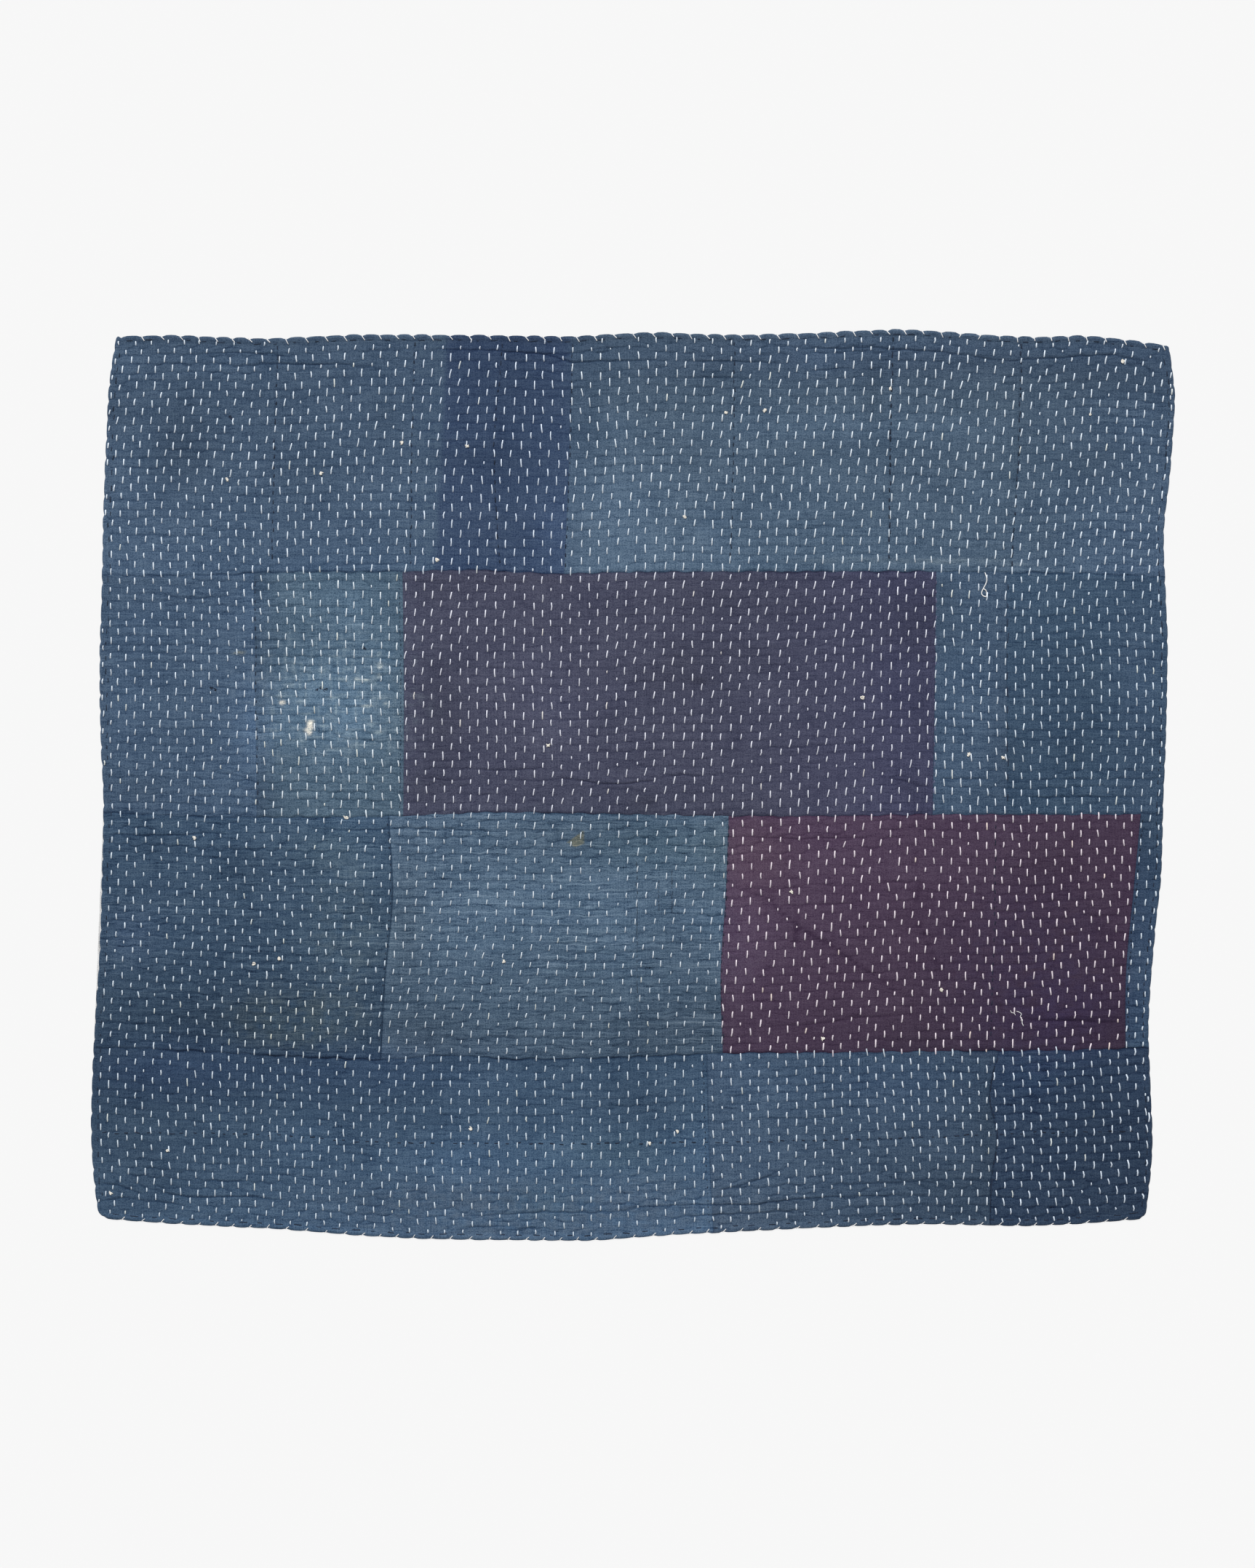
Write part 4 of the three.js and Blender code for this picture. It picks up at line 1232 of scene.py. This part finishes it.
def face_rows(panel):
    """A panel's rows of points: shares across and up, points a row, which rows are fine, and its size."""
    border, hem = panel["border"], panel["hem"]
    outer = "lower" if hem["lower"] else "upper"
    level = float(border[outer](float(border["left"](0.0))))
    left, right = float(border["left"](level)), float(border["right"](level))
    width = right - left
    middle = (left + right) / 2
    height = float(border["upper"](middle) - border["lower"](middle))
    u = columns_across(panel, left, width)
    v, fine_rows = rows_up(panel, height)
    twice = np.empty(2 * len(u) - 1)
    twice[::2] = u
    twice[1::2] = (u[:-1] + u[1:]) / 2
    across = np.concatenate([twice if fine else u for fine in fine_rows])
    counts = np.where(fine_rows, len(twice), len(u))
    return across, np.repeat(v, counts), counts, fine_rows, (width, height)


def face_mesh(counts, fine_rows):
    """Faces of four corners, those of five where a fine row meets a plain one, and the points of the rim."""
    starts = first_of(counts)
    ends = starts + counts - 1
    quads, fives = [], []
    for i in range(len(counts) - 1):
        low = np.arange(starts[i], ends[i] + 1)
        high = np.arange(starts[i + 1], ends[i + 1] + 1)
        if counts[i] == counts[i + 1]:
            quads.append(np.stack([low[:-1], low[1:], high[1:], high[:-1]], axis=-1))
        elif fine_rows[i + 1]:
            fives.append(np.stack([low[:-1], low[1:], high[2::2], high[1::2], high[:-2:2]], axis=-1))
        else:
            fives.append(np.stack([low[:-2:2], low[1::2], low[2::2], high[1:], high[:-1]], axis=-1))
    rim = np.concatenate([np.arange(ends[0]), ends[:-1], np.arange(ends[-1], starts[-1], -1),
                          starts[:0:-1]])
    return np.concatenate(quads), np.concatenate(fives), rim


def wall_rings(hem, rim_points, across, up):
    """Rings of points down the wall below a panel's rim, tucked in at a hem and out at a seam."""
    at_side = {"left": across == 0, "right": across == 1, "lower": up == 0, "upper": up == 1}
    rings = []
    for tuck, under, share in WALL_LEVELS:
        ring = rim_points.copy()
        for side, chosen in at_side.items():
            ring[chosen, :2] += np.array(INWARD[side]) * (tuck if hem[side] else -under)
        ring[:, 2] *= share
        rings.append(ring)
    return rings


# Where a panel lies in its texture, bottom to top: its underside, the strips of its wall, and its face
UNDER_V, UNDER_SPAN = 0.005, 0.085
WALL_TOP, WALL_STRIP = 0.115, 0.005
FACE_V, FACE_SPAN = 0.12, 0.87


def wall_uvs(count, levels):
    """Places in the texture of the corners of a panel's wall: a thin strip for each level."""
    along = np.arange(count + 1) / count
    strips = []
    for level in range(levels):
        top_v = np.full(count, WALL_TOP - WALL_STRIP * level)
        low_v = np.full(count, WALL_TOP - WALL_STRIP * (level + 1))
        corners = [along[1:], top_v, along[:-1], top_v, along[:-1], low_v, along[1:], low_v]
        strips.append(np.stack(corners, axis=-1).reshape(-1, 2))
    return strips


def make_cloth(panel, material):
    """One panel: its quilted face, its edge rolled or folded down, and its flat underside."""
    across, up, counts, fine_rows, (width, height) = face_rows(panel)
    x, y, away, pinched = panel_points(panel, across, up)
    face = np.column_stack([x, y, cloth_height(x, y, away) - pinched])
    quads, fives, rim = face_mesh(counts, fine_rows)
    rings = wall_rings(panel["hem"], face[rim], across[rim], up[rim])
    levels = [rim]
    for level in range(len(rings)):
        levels.append(len(face) + level * len(rim) + np.arange(len(rim)))
    walls = []
    for high, low in zip(levels[:-1], levels[1:]):
        walls.append(np.stack([np.roll(high, -1), high, low, np.roll(low, -1)], axis=-1))
    underside = levels[-1][::-1][None, :]

    points = np.concatenate([face] + rings)
    colours = dye_and_painted_shade(panel, x, y, across, up)
    colours = np.concatenate([colours] + [colours[rim]] * len(rings))
    face_uv = np.column_stack([across, FACE_V + FACE_SPAN * up])
    share_u, share_v = ((part - part.min()) / np.ptp(part) for part in points[:, :2].T)
    under_uv = np.column_stack([share_u, UNDER_V + UNDER_SPAN * share_v])[underside.ravel()]
    faces = [quads, fives] + walls + [underside]
    face_uvs = [face_uv[quads.ravel()], face_uv[fives.ravel()]] + wall_uvs(len(rim), len(rings)) + [under_uv]
    piece = make_object("cloth_" + panel["name"], points, faces, material, colours, face_uvs)
    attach(piece, "root")
    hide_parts("panel_" + panel["name"])


def thread_uvs(count, rings, angles):
    """Places in the texture of the corners of many threads: a cell for each, with its two caps beside it."""
    sides = len(angles)
    per_row = int(math.ceil(math.sqrt(count)))
    cells = np.column_stack([np.arange(count) % per_row, np.arange(count) // per_row])
    cell_u, cell_v = cells.T[:, :, None, None]
    steps = np.arange(rings - 1)[None, :, None]
    turns = np.arange(sides)[None, None, :]
    corners = []
    for ring_step, turn_step in ((0, 0), (0, 1), (1, 1), (1, 0)):
        part_u = (cell_u + 0.05 + 0.75 * (turns + turn_step) / sides) / per_row
        part_v = (cell_v + 0.05 + 0.90 * (steps + ring_step) / (rings - 1)) / per_row
        corners.append(np.stack(np.broadcast_arrays(part_u, part_v), axis=-1))
    cap = np.column_stack([0.9 + 0.05 * np.cos(angles), 0.5 + 0.05 * np.sin(angles)])
    first = (cells[:, None, :] + cap[None, ::-1] - np.array([0, 0.2])) / per_row
    last = (cells[:, None, :] + cap[None] + np.array([0, 0.2])) / per_row
    return [np.stack(corners, axis=3).reshape(-1, 2), np.concatenate([first, last]).reshape(-1, 2)]


def make_threads(name, paths, radii, tones, material, sides=5, inner_end=0.6):
    """Many short threads as one mesh. Each path has as many points, and may narrow to its last one."""
    paths = np.asarray(paths, float)
    count, rings = paths.shape[:2]
    ahead = np.gradient(paths, axis=1)
    ahead /= np.linalg.norm(ahead, axis=2, keepdims=True)
    beside = np.cross(ahead, np.array([0.0, 0.0, 1.0]))
    beside /= np.linalg.norm(beside, axis=2, keepdims=True)
    over = np.cross(beside, ahead)
    angles = 2 * np.pi * np.arange(sides) / sides
    round_x = np.cos(angles)[None, None, :, None]
    round_y = np.sin(angles)[None, None, :, None]
    marks = (0, 1, rings - 2, rings - 1)
    taper = np.interp(np.arange(rings), marks, (0.6, 1.0, (1 + inner_end) / 1.6, inner_end))
    size = np.asarray(radii, float)[:, None, None, None] * taper[None, :, None, None]
    outward = round_x * beside[:, :, None, :] + round_y * over[:, :, None, :]
    points = (paths[:, :, None, :] + size * outward).reshape(-1, 3)
    index = np.arange(count * rings * sides).reshape(count, rings, sides)
    turned = np.roll(index, -1, axis=2)
    quads = np.stack([index[:, :-1], turned[:, :-1], turned[:, 1:], index[:, 1:]], axis=-1)
    caps = np.concatenate([index[:, 0, ::-1], index[:, -1]])
    colours = np.repeat(np.asarray(tones, float), rings * sides, axis=0)
    piece = make_object(name, points, [quads.reshape(-1, 4), caps], material, colours,
                        thread_uvs(count, rings, angles))
    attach(piece, "root")


# Colours of the threads, as linear colours
WHITE = np.array([0.83, 0.83, 0.83])
KNOT_TONE = np.array([0.86, 0.82, 0.74])
NAVY = np.array([0.016, 0.022, 0.042])
# The hem's navy is also the colour of the painted shade along the hem's crease
FAINT_HEM_SHADE_NAVY = (0.024, 0.036, 0.064)
HEM_STITCH_AND_SHADE_NAVY = (0.018, 0.026, 0.048)

# Points along a stitch, and their heights above the cloth in radii: its two ends go into the cloth
STITCH_SHARES = np.array([-0.5, -0.44, 0.0, 0.44, 0.5])
STITCH_LIFTS = np.array([-0.9, 0.45, 0.65, 0.45, -0.9])
SUNK_LIFTS = np.array([-0.9, 0.25, 0.45, 0.25, -0.9])


def running_stitches(x, y, length, lean, radius, lifts, bow=0.0):
    """Short threads that lie on the cloth and dive into it at both ends."""
    t = STITCH_SHARES[None, :]
    side = bow * (1 - 4 * t ** 2)
    path_x = x[:, None] + t * (length * np.sin(lean))[:, None] + side * np.cos(lean)[:, None]
    path_y = y[:, None] + t * (length * np.cos(lean))[:, None] - side * np.sin(lean)[:, None]
    path_z = surface_height(path_x, path_y) + radius * lifts[None, :]
    return np.stack([path_x, path_y, path_z], axis=-1)


# Where the white stitches are stained warm: middle and half size
STAINED_X, STAINED_Y = -470, -320
STAINED_HALF_X, STAINED_HALF_Y = 75, 45

# How warm they are there, what share is as warm elsewhere, and how far those on plum are
WARM_TINT = np.array([0.0, -0.05, -0.16])
WARM_SHARE = 0.02
PLUM_WARMTH = 0.35

# How much they differ in bow, tone and thickness, how far they take the cast of the cloth's dye, and how
# light they are at heights up the blanket
BOW_SPREAD = 0.35
TONE_SPREAD = 0.07
THICKNESSES = (0.88, 1.12)
DYE_CAST = 0.2
TONE_HEIGHTS = (-620, -300, 300, 620)
TONES_UP = (0.91, 0.95, 1.08, 1.10)


def make_quilting(material):
    """The white running stitches, one mesh for each band."""
    x, y = STITCHES["x"], STITCHES["y"]
    bow = (by_panel("bow", x, y) + RNG.normal(0, BOW_SPREAD, len(x)))[:, None]
    paths = running_stitches(x, y, STITCHES["length"], STITCHES["lean"], STITCH_RADIUS,
                             STITCH_LIFTS, bow)
    tone = 1 + TONE_SPREAD * RNG.standard_normal(len(x))
    warm = bell(x - STAINED_X, y - STAINED_Y, STAINED_HALF_X, STAINED_HALF_Y)
    warm = warm + (RNG.random(len(x)) < WARM_SHARE)
    warm = warm + PLUM_WARMTH * (by_panel("dye", x, y) == "plum")
    tone = tone * np.interp(y, TONE_HEIGHTS, TONES_UP)
    dyes = np.array([DYES[dye] for dye in by_panel("dye", x, y)])
    cast = (dyes / dyes.mean(axis=1, keepdims=True)) ** DYE_CAST
    tones = WHITE[None, :] * cast * tone[:, None] * (1 + warm[:, None] * WARM_TINT[None, :])
    radii = STITCH_RADIUS * by_panel("thick", x, y) * RNG.uniform(*THICKNESSES, len(x))
    seams_above = sum((y <= smooth_line(seam)(x)).astype(int) for seam in (HIGH_SEAM, MIDDLE_SEAM, LOW_SEAM))
    for number, band in enumerate(BANDS):
        chosen = seams_above == number
        make_threads("quilting_" + band["name"], paths[chosen], radii[chosen], tones[chosen], material,
                     sides=4)


# Dark running stitches: how far ahead and behind gives their direction, how they stray along their line as a
# share of their spacing, turn, differ in length as a share, and the shares of the shortest and longest
DASH_REACH = 2.0
DASH_STRAY = 0.1
DASH_TURN = 0.08
DASH_SPREAD = 0.28
DASH_LIMITS = (0.4, 1.5)


def dashes_along(path, length, pitch, wander):
    """Middles, lengths and directions of running stitches along a path."""
    places = np.arange(pitch * 0.6, distances_along(path)[-1] - pitch * 0.4, pitch)
    places = places + RNG.normal(0, DASH_STRAY * pitch, len(places))
    x, y = points_along(path, places)
    ahead_x, ahead_y = points_along(path, places + DASH_REACH) - points_along(path, places - DASH_REACH)
    lean = np.arctan2(ahead_x, ahead_y) + RNG.normal(0, DASH_TURN, len(x))
    x = x + RNG.normal(0, wander, len(x))
    y = y + RNG.normal(0, wander, len(y))
    shortest, longest = DASH_LIMITS
    lengths = np.clip(RNG.normal(length, DASH_SPREAD * length, len(x)), shortest * length, longest * length)
    return x, y, lengths, lean


def line_across(line, x_from, x_to, shift):
    """Points along a line that runs across the blanket."""
    x = np.linspace(x_from, x_to, 200)
    return np.column_stack([x, line(x) + shift])


def line_down(line, y_from, y_to, shift):
    """Points along a line that runs down the blanket."""
    y = np.linspace(y_from, y_to, 200)
    return np.column_stack([line(y) + shift, y])


# The dark line of running stitches down the plum panel, as (y, x), and the one across the bottom band
PLUM_LINE = [(-360, 490), (-200, 496), (-50, 498)]
BOTTOM_LINE = [(-735, -478), (-600, -479), (-500, -481), (-360, -491), (-80, -493), (120, -491),
               (370, -486), (520, -479), (700, -476)]

# Seams whose stitches are not the usual dark ones: the panel before the seam, and the stitches' length,
# spacing, distance to the right of the seam, colour and half thickness
SEAM_STITCHES = {
    "top_6": (5.6, 11.5, 1.0, (0.019, 0.027, 0.050), 0.8),
    "top_7": (5.6, 11.5, 1.0, (0.019, 0.027, 0.050), 0.8),
    "upper_2": (2.6, 6.5, -4.5, (0.026, 0.044, 0.078), 0.5),
    "upper_3": (5.0, 12.5, 1.0, (0.16, 0.16, 0.26), 0.5),
    "upper_4": (10.5, 24.0, 1.0, (0.022, 0.030, 0.056), 0.6),
    "lower_1": (2.4, 11.0, -2.5, (0.018, 0.024, 0.044), 0.5),
    "lower_3": (3.2, 9.5, 3.8, (0.014, 0.020, 0.038), 0.65),
    "bottom_1": (1.8, 9.5, -5.0, (0.018, 0.026, 0.048), 0.55),
    "bottom_2": (11.0, 13.0, 1.0, (0.018, 0.024, 0.044), 0.5),
}
USUAL_SEAM = (5.2, 12.5, 1.0, (0.021, 0.030, 0.055), 0.65)

# Worn and darned lines down the pale lower panel: x, upper and lower end, the stitches' length and spacing,
# colour and half thickness
WORN_LINES = [
    (5, -105, -320, 8.0, 9.0, (0.050, 0.078, 0.118), 0.5),
    (35, -130, -180, 5.0, 6.5, (0.030, 0.045, 0.075), 0.4),
    (53, -118, -178, 5.0, 6.5, (0.030, 0.045, 0.075), 0.4),
]


# How the dark dashes along a hem, which stand for the painted shade of its crease, stray along it and across
# it, and turn
HEM_STRAY_ALONG = 1.8
HEM_STRAY_ACROSS = 0.5
HEM_TURN = 0.06


def hem_crease_shade_dashes(line, x_from, x_to, shift, length, phase):
    """Middles, lengths and directions of dark dashes along a hem, one for each scallop: painted shade of its
    crease.
    """
    index = np.arange(math.ceil(x_from / SCALLOP_PITCH), math.floor(x_to / SCALLOP_PITCH))
    x = notch_at(index + phase) + RNG.normal(0, HEM_STRAY_ALONG, len(index))
    y = line(x) + shift + RNG.normal(0, HEM_STRAY_ACROSS, len(index))
    lean = np.arctan2(2 * DASH_REACH, line(x + DASH_REACH) - line(x - DASH_REACH))
    lean = lean + RNG.normal(0, HEM_TURN, len(index))
    return x, y, length * RNG.uniform(*DASH_LIMITS, len(index)), lean


# The least and most that dark stitches differ in tone and thickness
DARK_TONES = (0.7, 1.5)
DARK_THICKNESSES = (0.8, 1.25)


def make_dark_stitches(material):
    """Dark indigo stitches along the hem, down the panels' seams and across the bottom band, and painted
    hem-crease shade.
    """
    # Each row has its stitches' places, their colour and their half thickness
    rows = [
        # The top and bottom hem rows are dark thread put in for the painted shade of the hem's crease
        (hem_crease_shade_dashes(top_edge, -700, 725, -6.5, 7.5, 0.40), FAINT_HEM_SHADE_NAVY, 0.55),
        (hem_crease_shade_dashes(bottom_edge, -725, 100, 7.2, 8.0, 0.60), HEM_STITCH_AND_SHADE_NAVY, 0.60),
        (hem_crease_shade_dashes(bottom_edge, 100, 700, 7.6, 9.0, 0.60), HEM_STITCH_AND_SHADE_NAVY, 0.65),
        (dashes_along(line_down(left_edge, 600, -585, 9.0), 6.5, 18.0, 0.9), HEM_STITCH_AND_SHADE_NAVY, 0.55),
        (dashes_along(line_down(right_edge, 590, -585, -7.8), 7.0, 14.5, 0.8), HEM_STITCH_AND_SHADE_NAVY, 0.6),
        (dashes_along(line_across(smooth_line(BOTTOM_LINE), -735, 698, 0), 5.2, 15.0, 0.6), NAVY, 0.65),
        (dashes_along(line_down(smooth_line(PLUM_LINE), -52, -355, 0), 5.0, 11.0, 0.4), NAVY, 0.6),
    ]
    for panel in PANELS:
        if not panel["hem"]["right"]:
            seam = panel["border"]["right"]
            middle = float(seam(0.0))
            head = float(panel["border"]["upper"](middle))
            foot = float(panel["border"]["lower"](middle))
            length, pitch, shift, tone, radius = SEAM_STITCHES.get(panel["name"], USUAL_SEAM)
            line = line_down(seam, head - 6, foot + 6, shift)
            rows.append((dashes_along(line, length, pitch, 0.5), tone, radius))
    for x, head, foot, length, pitch, tone, radius in WORN_LINES:
        rows.append((dashes_along([(x, head), (x, foot)], length, pitch, 0.4), tone, radius))
    x, y, length, lean = (np.concatenate(part) for part in zip(*(row[0] for row in rows)))
    tones = np.concatenate([np.tile(tone, (len(row[0]), 1)) for row, tone, _ in rows])
    tones = tones * RNG.uniform(*DARK_TONES, len(x))[:, None]
    radii = np.concatenate([np.full(len(row[0]), radius) for row, _, radius in rows])
    radii = radii * RNG.uniform(*DARK_THICKNESSES, len(x))
    paths = running_stitches(x, y, length, lean, radii[:, None], SUNK_LIFTS)
    make_threads("dark_stitches", paths, radii, tones, material, sides=4)


# Whip stitches: how far each leans along the edge and reaches in from it, at places along the edge
TOP_WHIP = {"place": (-700, 300, 440, 452, 488, 498, 700),
            "along": (4.4, 4.2, 3.2, -4.5, -6.0, 0.5, 2.6),
            "inward": (6.0, 6.3, 6.0, 6.0, 6.0, 5.5, 6.3), "radius": 0.66}
BOTTOM_WHIP = {"place": (-720, 300, 700), "along": (4.2, 4.2, 5.0),
               "inward": (4.2, 4.2, 3.0), "radius": 0.54}

# How far a whip stitch starts outside the edge, and lies above the hem
WHIP_OUTSIDE = 0.4
WHIP_LIFT = 0.4


def make_whipping(material):
    """White whip stitches over the hem, one in each notch of its scallops."""
    paths, radii = [], []
    share = np.array([0.0, 0.0, 0.12, 0.35, 0.6, 0.85, 0.97, 1.0])
    for edge, side, first, last, whip in ((top_edge, "upper", -695, 725, TOP_WHIP),
                                          (bottom_edge, "lower", -722, 692, BOTTOM_WHIP)):
        toward = INWARD[side][1]
        index = np.arange(math.ceil(first / SCALLOP_PITCH), math.floor(last / SCALLOP_PITCH) + 1)
        for notch in notch_at(index):
            along = np.interp(notch, whip["place"], whip["along"]) * RNG.uniform(0.75, 1.25)
            inward = np.interp(notch, whip["place"], whip["inward"]) * RNG.uniform(0.75, 1.25)
            drawn = float(scallop_depth(np.array(notch + 0.01), SCALLOPS[side]))
            start = float(edge(notch)) + toward * drawn
            away = inward * share - WHIP_OUTSIDE
            z = hem_height(np.maximum(away, 0), np.full(len(share), CLOTH_HEIGHT))
            z = z - PINCH_DEPTH * (1 - share) + WHIP_LIFT
            z[0] = whip["radius"]
            z[-1] -= 2 * whip["radius"]
            paths.append(np.column_stack([notch + along * (share - 0.2), start + toward * away, z]))
            radii.append(whip["radius"] * RNG.uniform(0.85, 1.15))
    tones = WHITE[None, :] * RNG.uniform(0.92, 1.05, len(paths))[:, None]
    make_threads("whipping", paths, radii, tones, material, sides=6, inner_end=0.35)


# Knots of the white thread, and dark darned spots
KNOTS = [(-558, 419), (-429, 428), (-318, 470), (-228, 465), (-269, 309), (127, 511), (180, 514), (70, 368),
         (353, 544), (628, 509), (672, 582), (315, 120), (461, 41), (508, 37), (-117, 54), (-395, -45),
         (-603, -73), (-486, -239), (-521, -246), (-178, -243), (217, -147), (260, -349), (424, -282),
         (-640, -503), (-224, -473), (61, -476), (22, -493), (-718, -561)]
DARNS = [(-554, 506), (-552, 504), (-579, 133), (-574, 130), (-430, 133), (-423, 131), (-434, 131),
         (-369, 187)]

# Loose ends of white thread: half thickness and path
LOOSE_ENDS = [
    (0.75, [(483, 292), (485.5, 283), (484.5, 277), (481, 270), (479, 266), (478.5, 262), (481.5, 259),
            (485, 259), (484.8, 266), (481, 269.5)]),
    (0.45, [(526, -311), (530, -312.5), (533, -315), (531.5, -319), (534.5, -323), (534, -327),
            (536, -332)]),
    (0.40, [(518, -310), (519.5, -313), (523, -314), (525, -317)]),
]


# Half thicknesses of the thread of knots and darns
KNOT_RADIUS = 0.85
DARN_RADIUS = 0.38

# The ends in a tangle, as shares of its size: how far they reach, bend and stray
TANGLE_REACH = (0.5, 1.3)
TANGLE_BEND = 0.4
TANGLE_STRAY = 0.25


def tangles(places, count, size, lift):
    """Small tangles of thread: at each place a few short bent ends that cross on the cloth."""
    paths = []
    steps = np.linspace(-1, 1, 7)
    for x, y in places:
        for _ in range(count):
            turn = RNG.uniform(0, 2 * math.pi)
            along = size * RNG.uniform(*TANGLE_REACH) * steps
            side = RNG.normal(0, TANGLE_BEND * size) * (1 - steps ** 2)
            stray = TANGLE_STRAY * size
            path_x = x + RNG.normal(0, stray) + along * math.cos(turn) - side * math.sin(turn)
            path_y = y + RNG.normal(0, stray) + along * math.sin(turn) + side * math.cos(turn)
            path_z = surface_height(path_x, path_y) + lift * (1.2 - steps ** 2)
            paths.append(np.column_stack([path_x, path_y, path_z]))
    return paths


def make_loose_threads(white, dark):
    """Knots and loose ends of white thread, and dark darning."""
    knots = tangles(KNOTS, count=5, size=2.2, lift=0.9)
    tones = KNOT_TONE[None, :] * RNG.uniform(0.9, 1.08, len(knots))[:, None]
    make_threads("knots", knots, np.full(len(knots), KNOT_RADIUS), tones, white)
    darns = tangles(DARNS, count=4, size=2.2, lift=0.25)
    tones = NAVY[None, :] * RNG.uniform(0.5, 2.2, len(darns))[:, None]
    make_threads("darning", darns, np.full(len(darns), DARN_RADIUS), tones, dark, sides=4)
    for number, (radius, path) in enumerate(LOOSE_ENDS):
        along = np.linspace(0, len(path) - 1, 4 * len(path))
        x, y = (smooth_line([(i, point[axis]) for i, point in enumerate(path)])(along) for axis in (0, 1))
        z = surface_height(x, y) + radius + 0.8 * np.exp(-(along - along[-1]) ** 2)
        z[[0, -1]] -= 1.2
        make_threads(f"loose_end_{number + 1}", [np.column_stack([x, y, z])], [radius], [WHITE], white,
                     sides=6)


# Half the side of the floor, in metres, and how brightly it glows
FLOOR_HALF = 40.0
FLOOR_GLOW = 0.86


def make_floor():
    """The plain pale floor, lit from below so that hardly any shadow falls on it."""
    mesh = bpy.data.meshes.new("floor")
    corners = [(FLOOR_HALF * x, FLOOR_HALF * y, 0) for x, y in ((-1, -1), (1, -1), (1, 1), (-1, 1))]
    mesh.from_pydata(corners, [], [(0, 1, 2, 3)])
    material, _, shader = new_material("floor", roughness=0.9, specular=0.0)
    shader.inputs["Base Color"].default_value = (0.07, 0.07, 0.07, 1)
    shader.inputs["Emission Color"].default_value = (1, 1, 1, 1)
    shader.inputs["Emission Strength"].default_value = FLOOR_GLOW
    mesh.materials.append(material)
    floor = bpy.data.objects.new("floor", mesh)
    bpy.context.scene.collection.objects.link(floor)


# The camera's height and the height of what it sees, in metres, the width of its sensor, and the place that
# it looks down on
CAMERA_HEIGHT = 5.0
FRAME_HEIGHT = 2.156
SENSOR = 36.0
CAMERA_X = -8.0
CAMERA_Y = 1.0


def make_camera():
    """A long lens straight above the blanket."""
    data = bpy.data.cameras.new("camera")
    data.sensor_width = SENSOR
    data.lens = SENSOR * CAMERA_HEIGHT / FRAME_HEIGHT
    camera = bpy.data.objects.new("camera", data)
    camera.location = ((CAMERA_X - ORIGIN_X) * MM, (CAMERA_Y - ORIGIN_Y) * MM, CAMERA_HEIGHT)
    bpy.context.scene.collection.objects.link(camera)
    bpy.context.scene.camera = camera


# Strengths of the light from all round and of the key light, and the key light's size and direction
WORLD_LIGHT = 0.42
KEY_LIGHT = 0.63
KEY_SIZE = math.radians(20)
KEY_TILT = math.radians(42)
KEY_TURN = math.radians(-12)


def make_lights():
    """Even soft light from all round, and a broad key light from beyond the top edge."""
    scene = bpy.context.scene
    scene.view_settings.view_transform = "Standard"
    world = bpy.data.worlds.new("studio")
    world.use_nodes = True
    background = world.node_tree.nodes["Background"]
    background.inputs["Color"].default_value = (1, 1, 1, 1)
    background.inputs["Strength"].default_value = WORLD_LIGHT
    scene.world = world
    data = bpy.data.lights.new("key", "SUN")
    data.angle = KEY_SIZE
    data.energy = KEY_LIGHT * math.pi / math.cos(KEY_TILT)
    key = bpy.data.objects.new("key", data)
    key.rotation_euler = (-KEY_TILT, KEY_TURN, 0)
    scene.collection.objects.link(key)


make_camera()
make_lights()
make_floor()
for each in PANELS:
    cotton = cloth_material("cotton_" + each["name"], each["dye"], each["weft"], each["pucker"])
    make_cloth(each, cotton)
WHITE_THREAD = thread_material("white_thread", roughness=0.85)
DARK_THREAD = thread_material("dark_thread", roughness=0.8)
make_quilting(WHITE_THREAD)
make_dark_stitches(DARK_THREAD)
make_whipping(WHITE_THREAD)
make_loose_threads(WHITE_THREAD, DARK_THREAD)
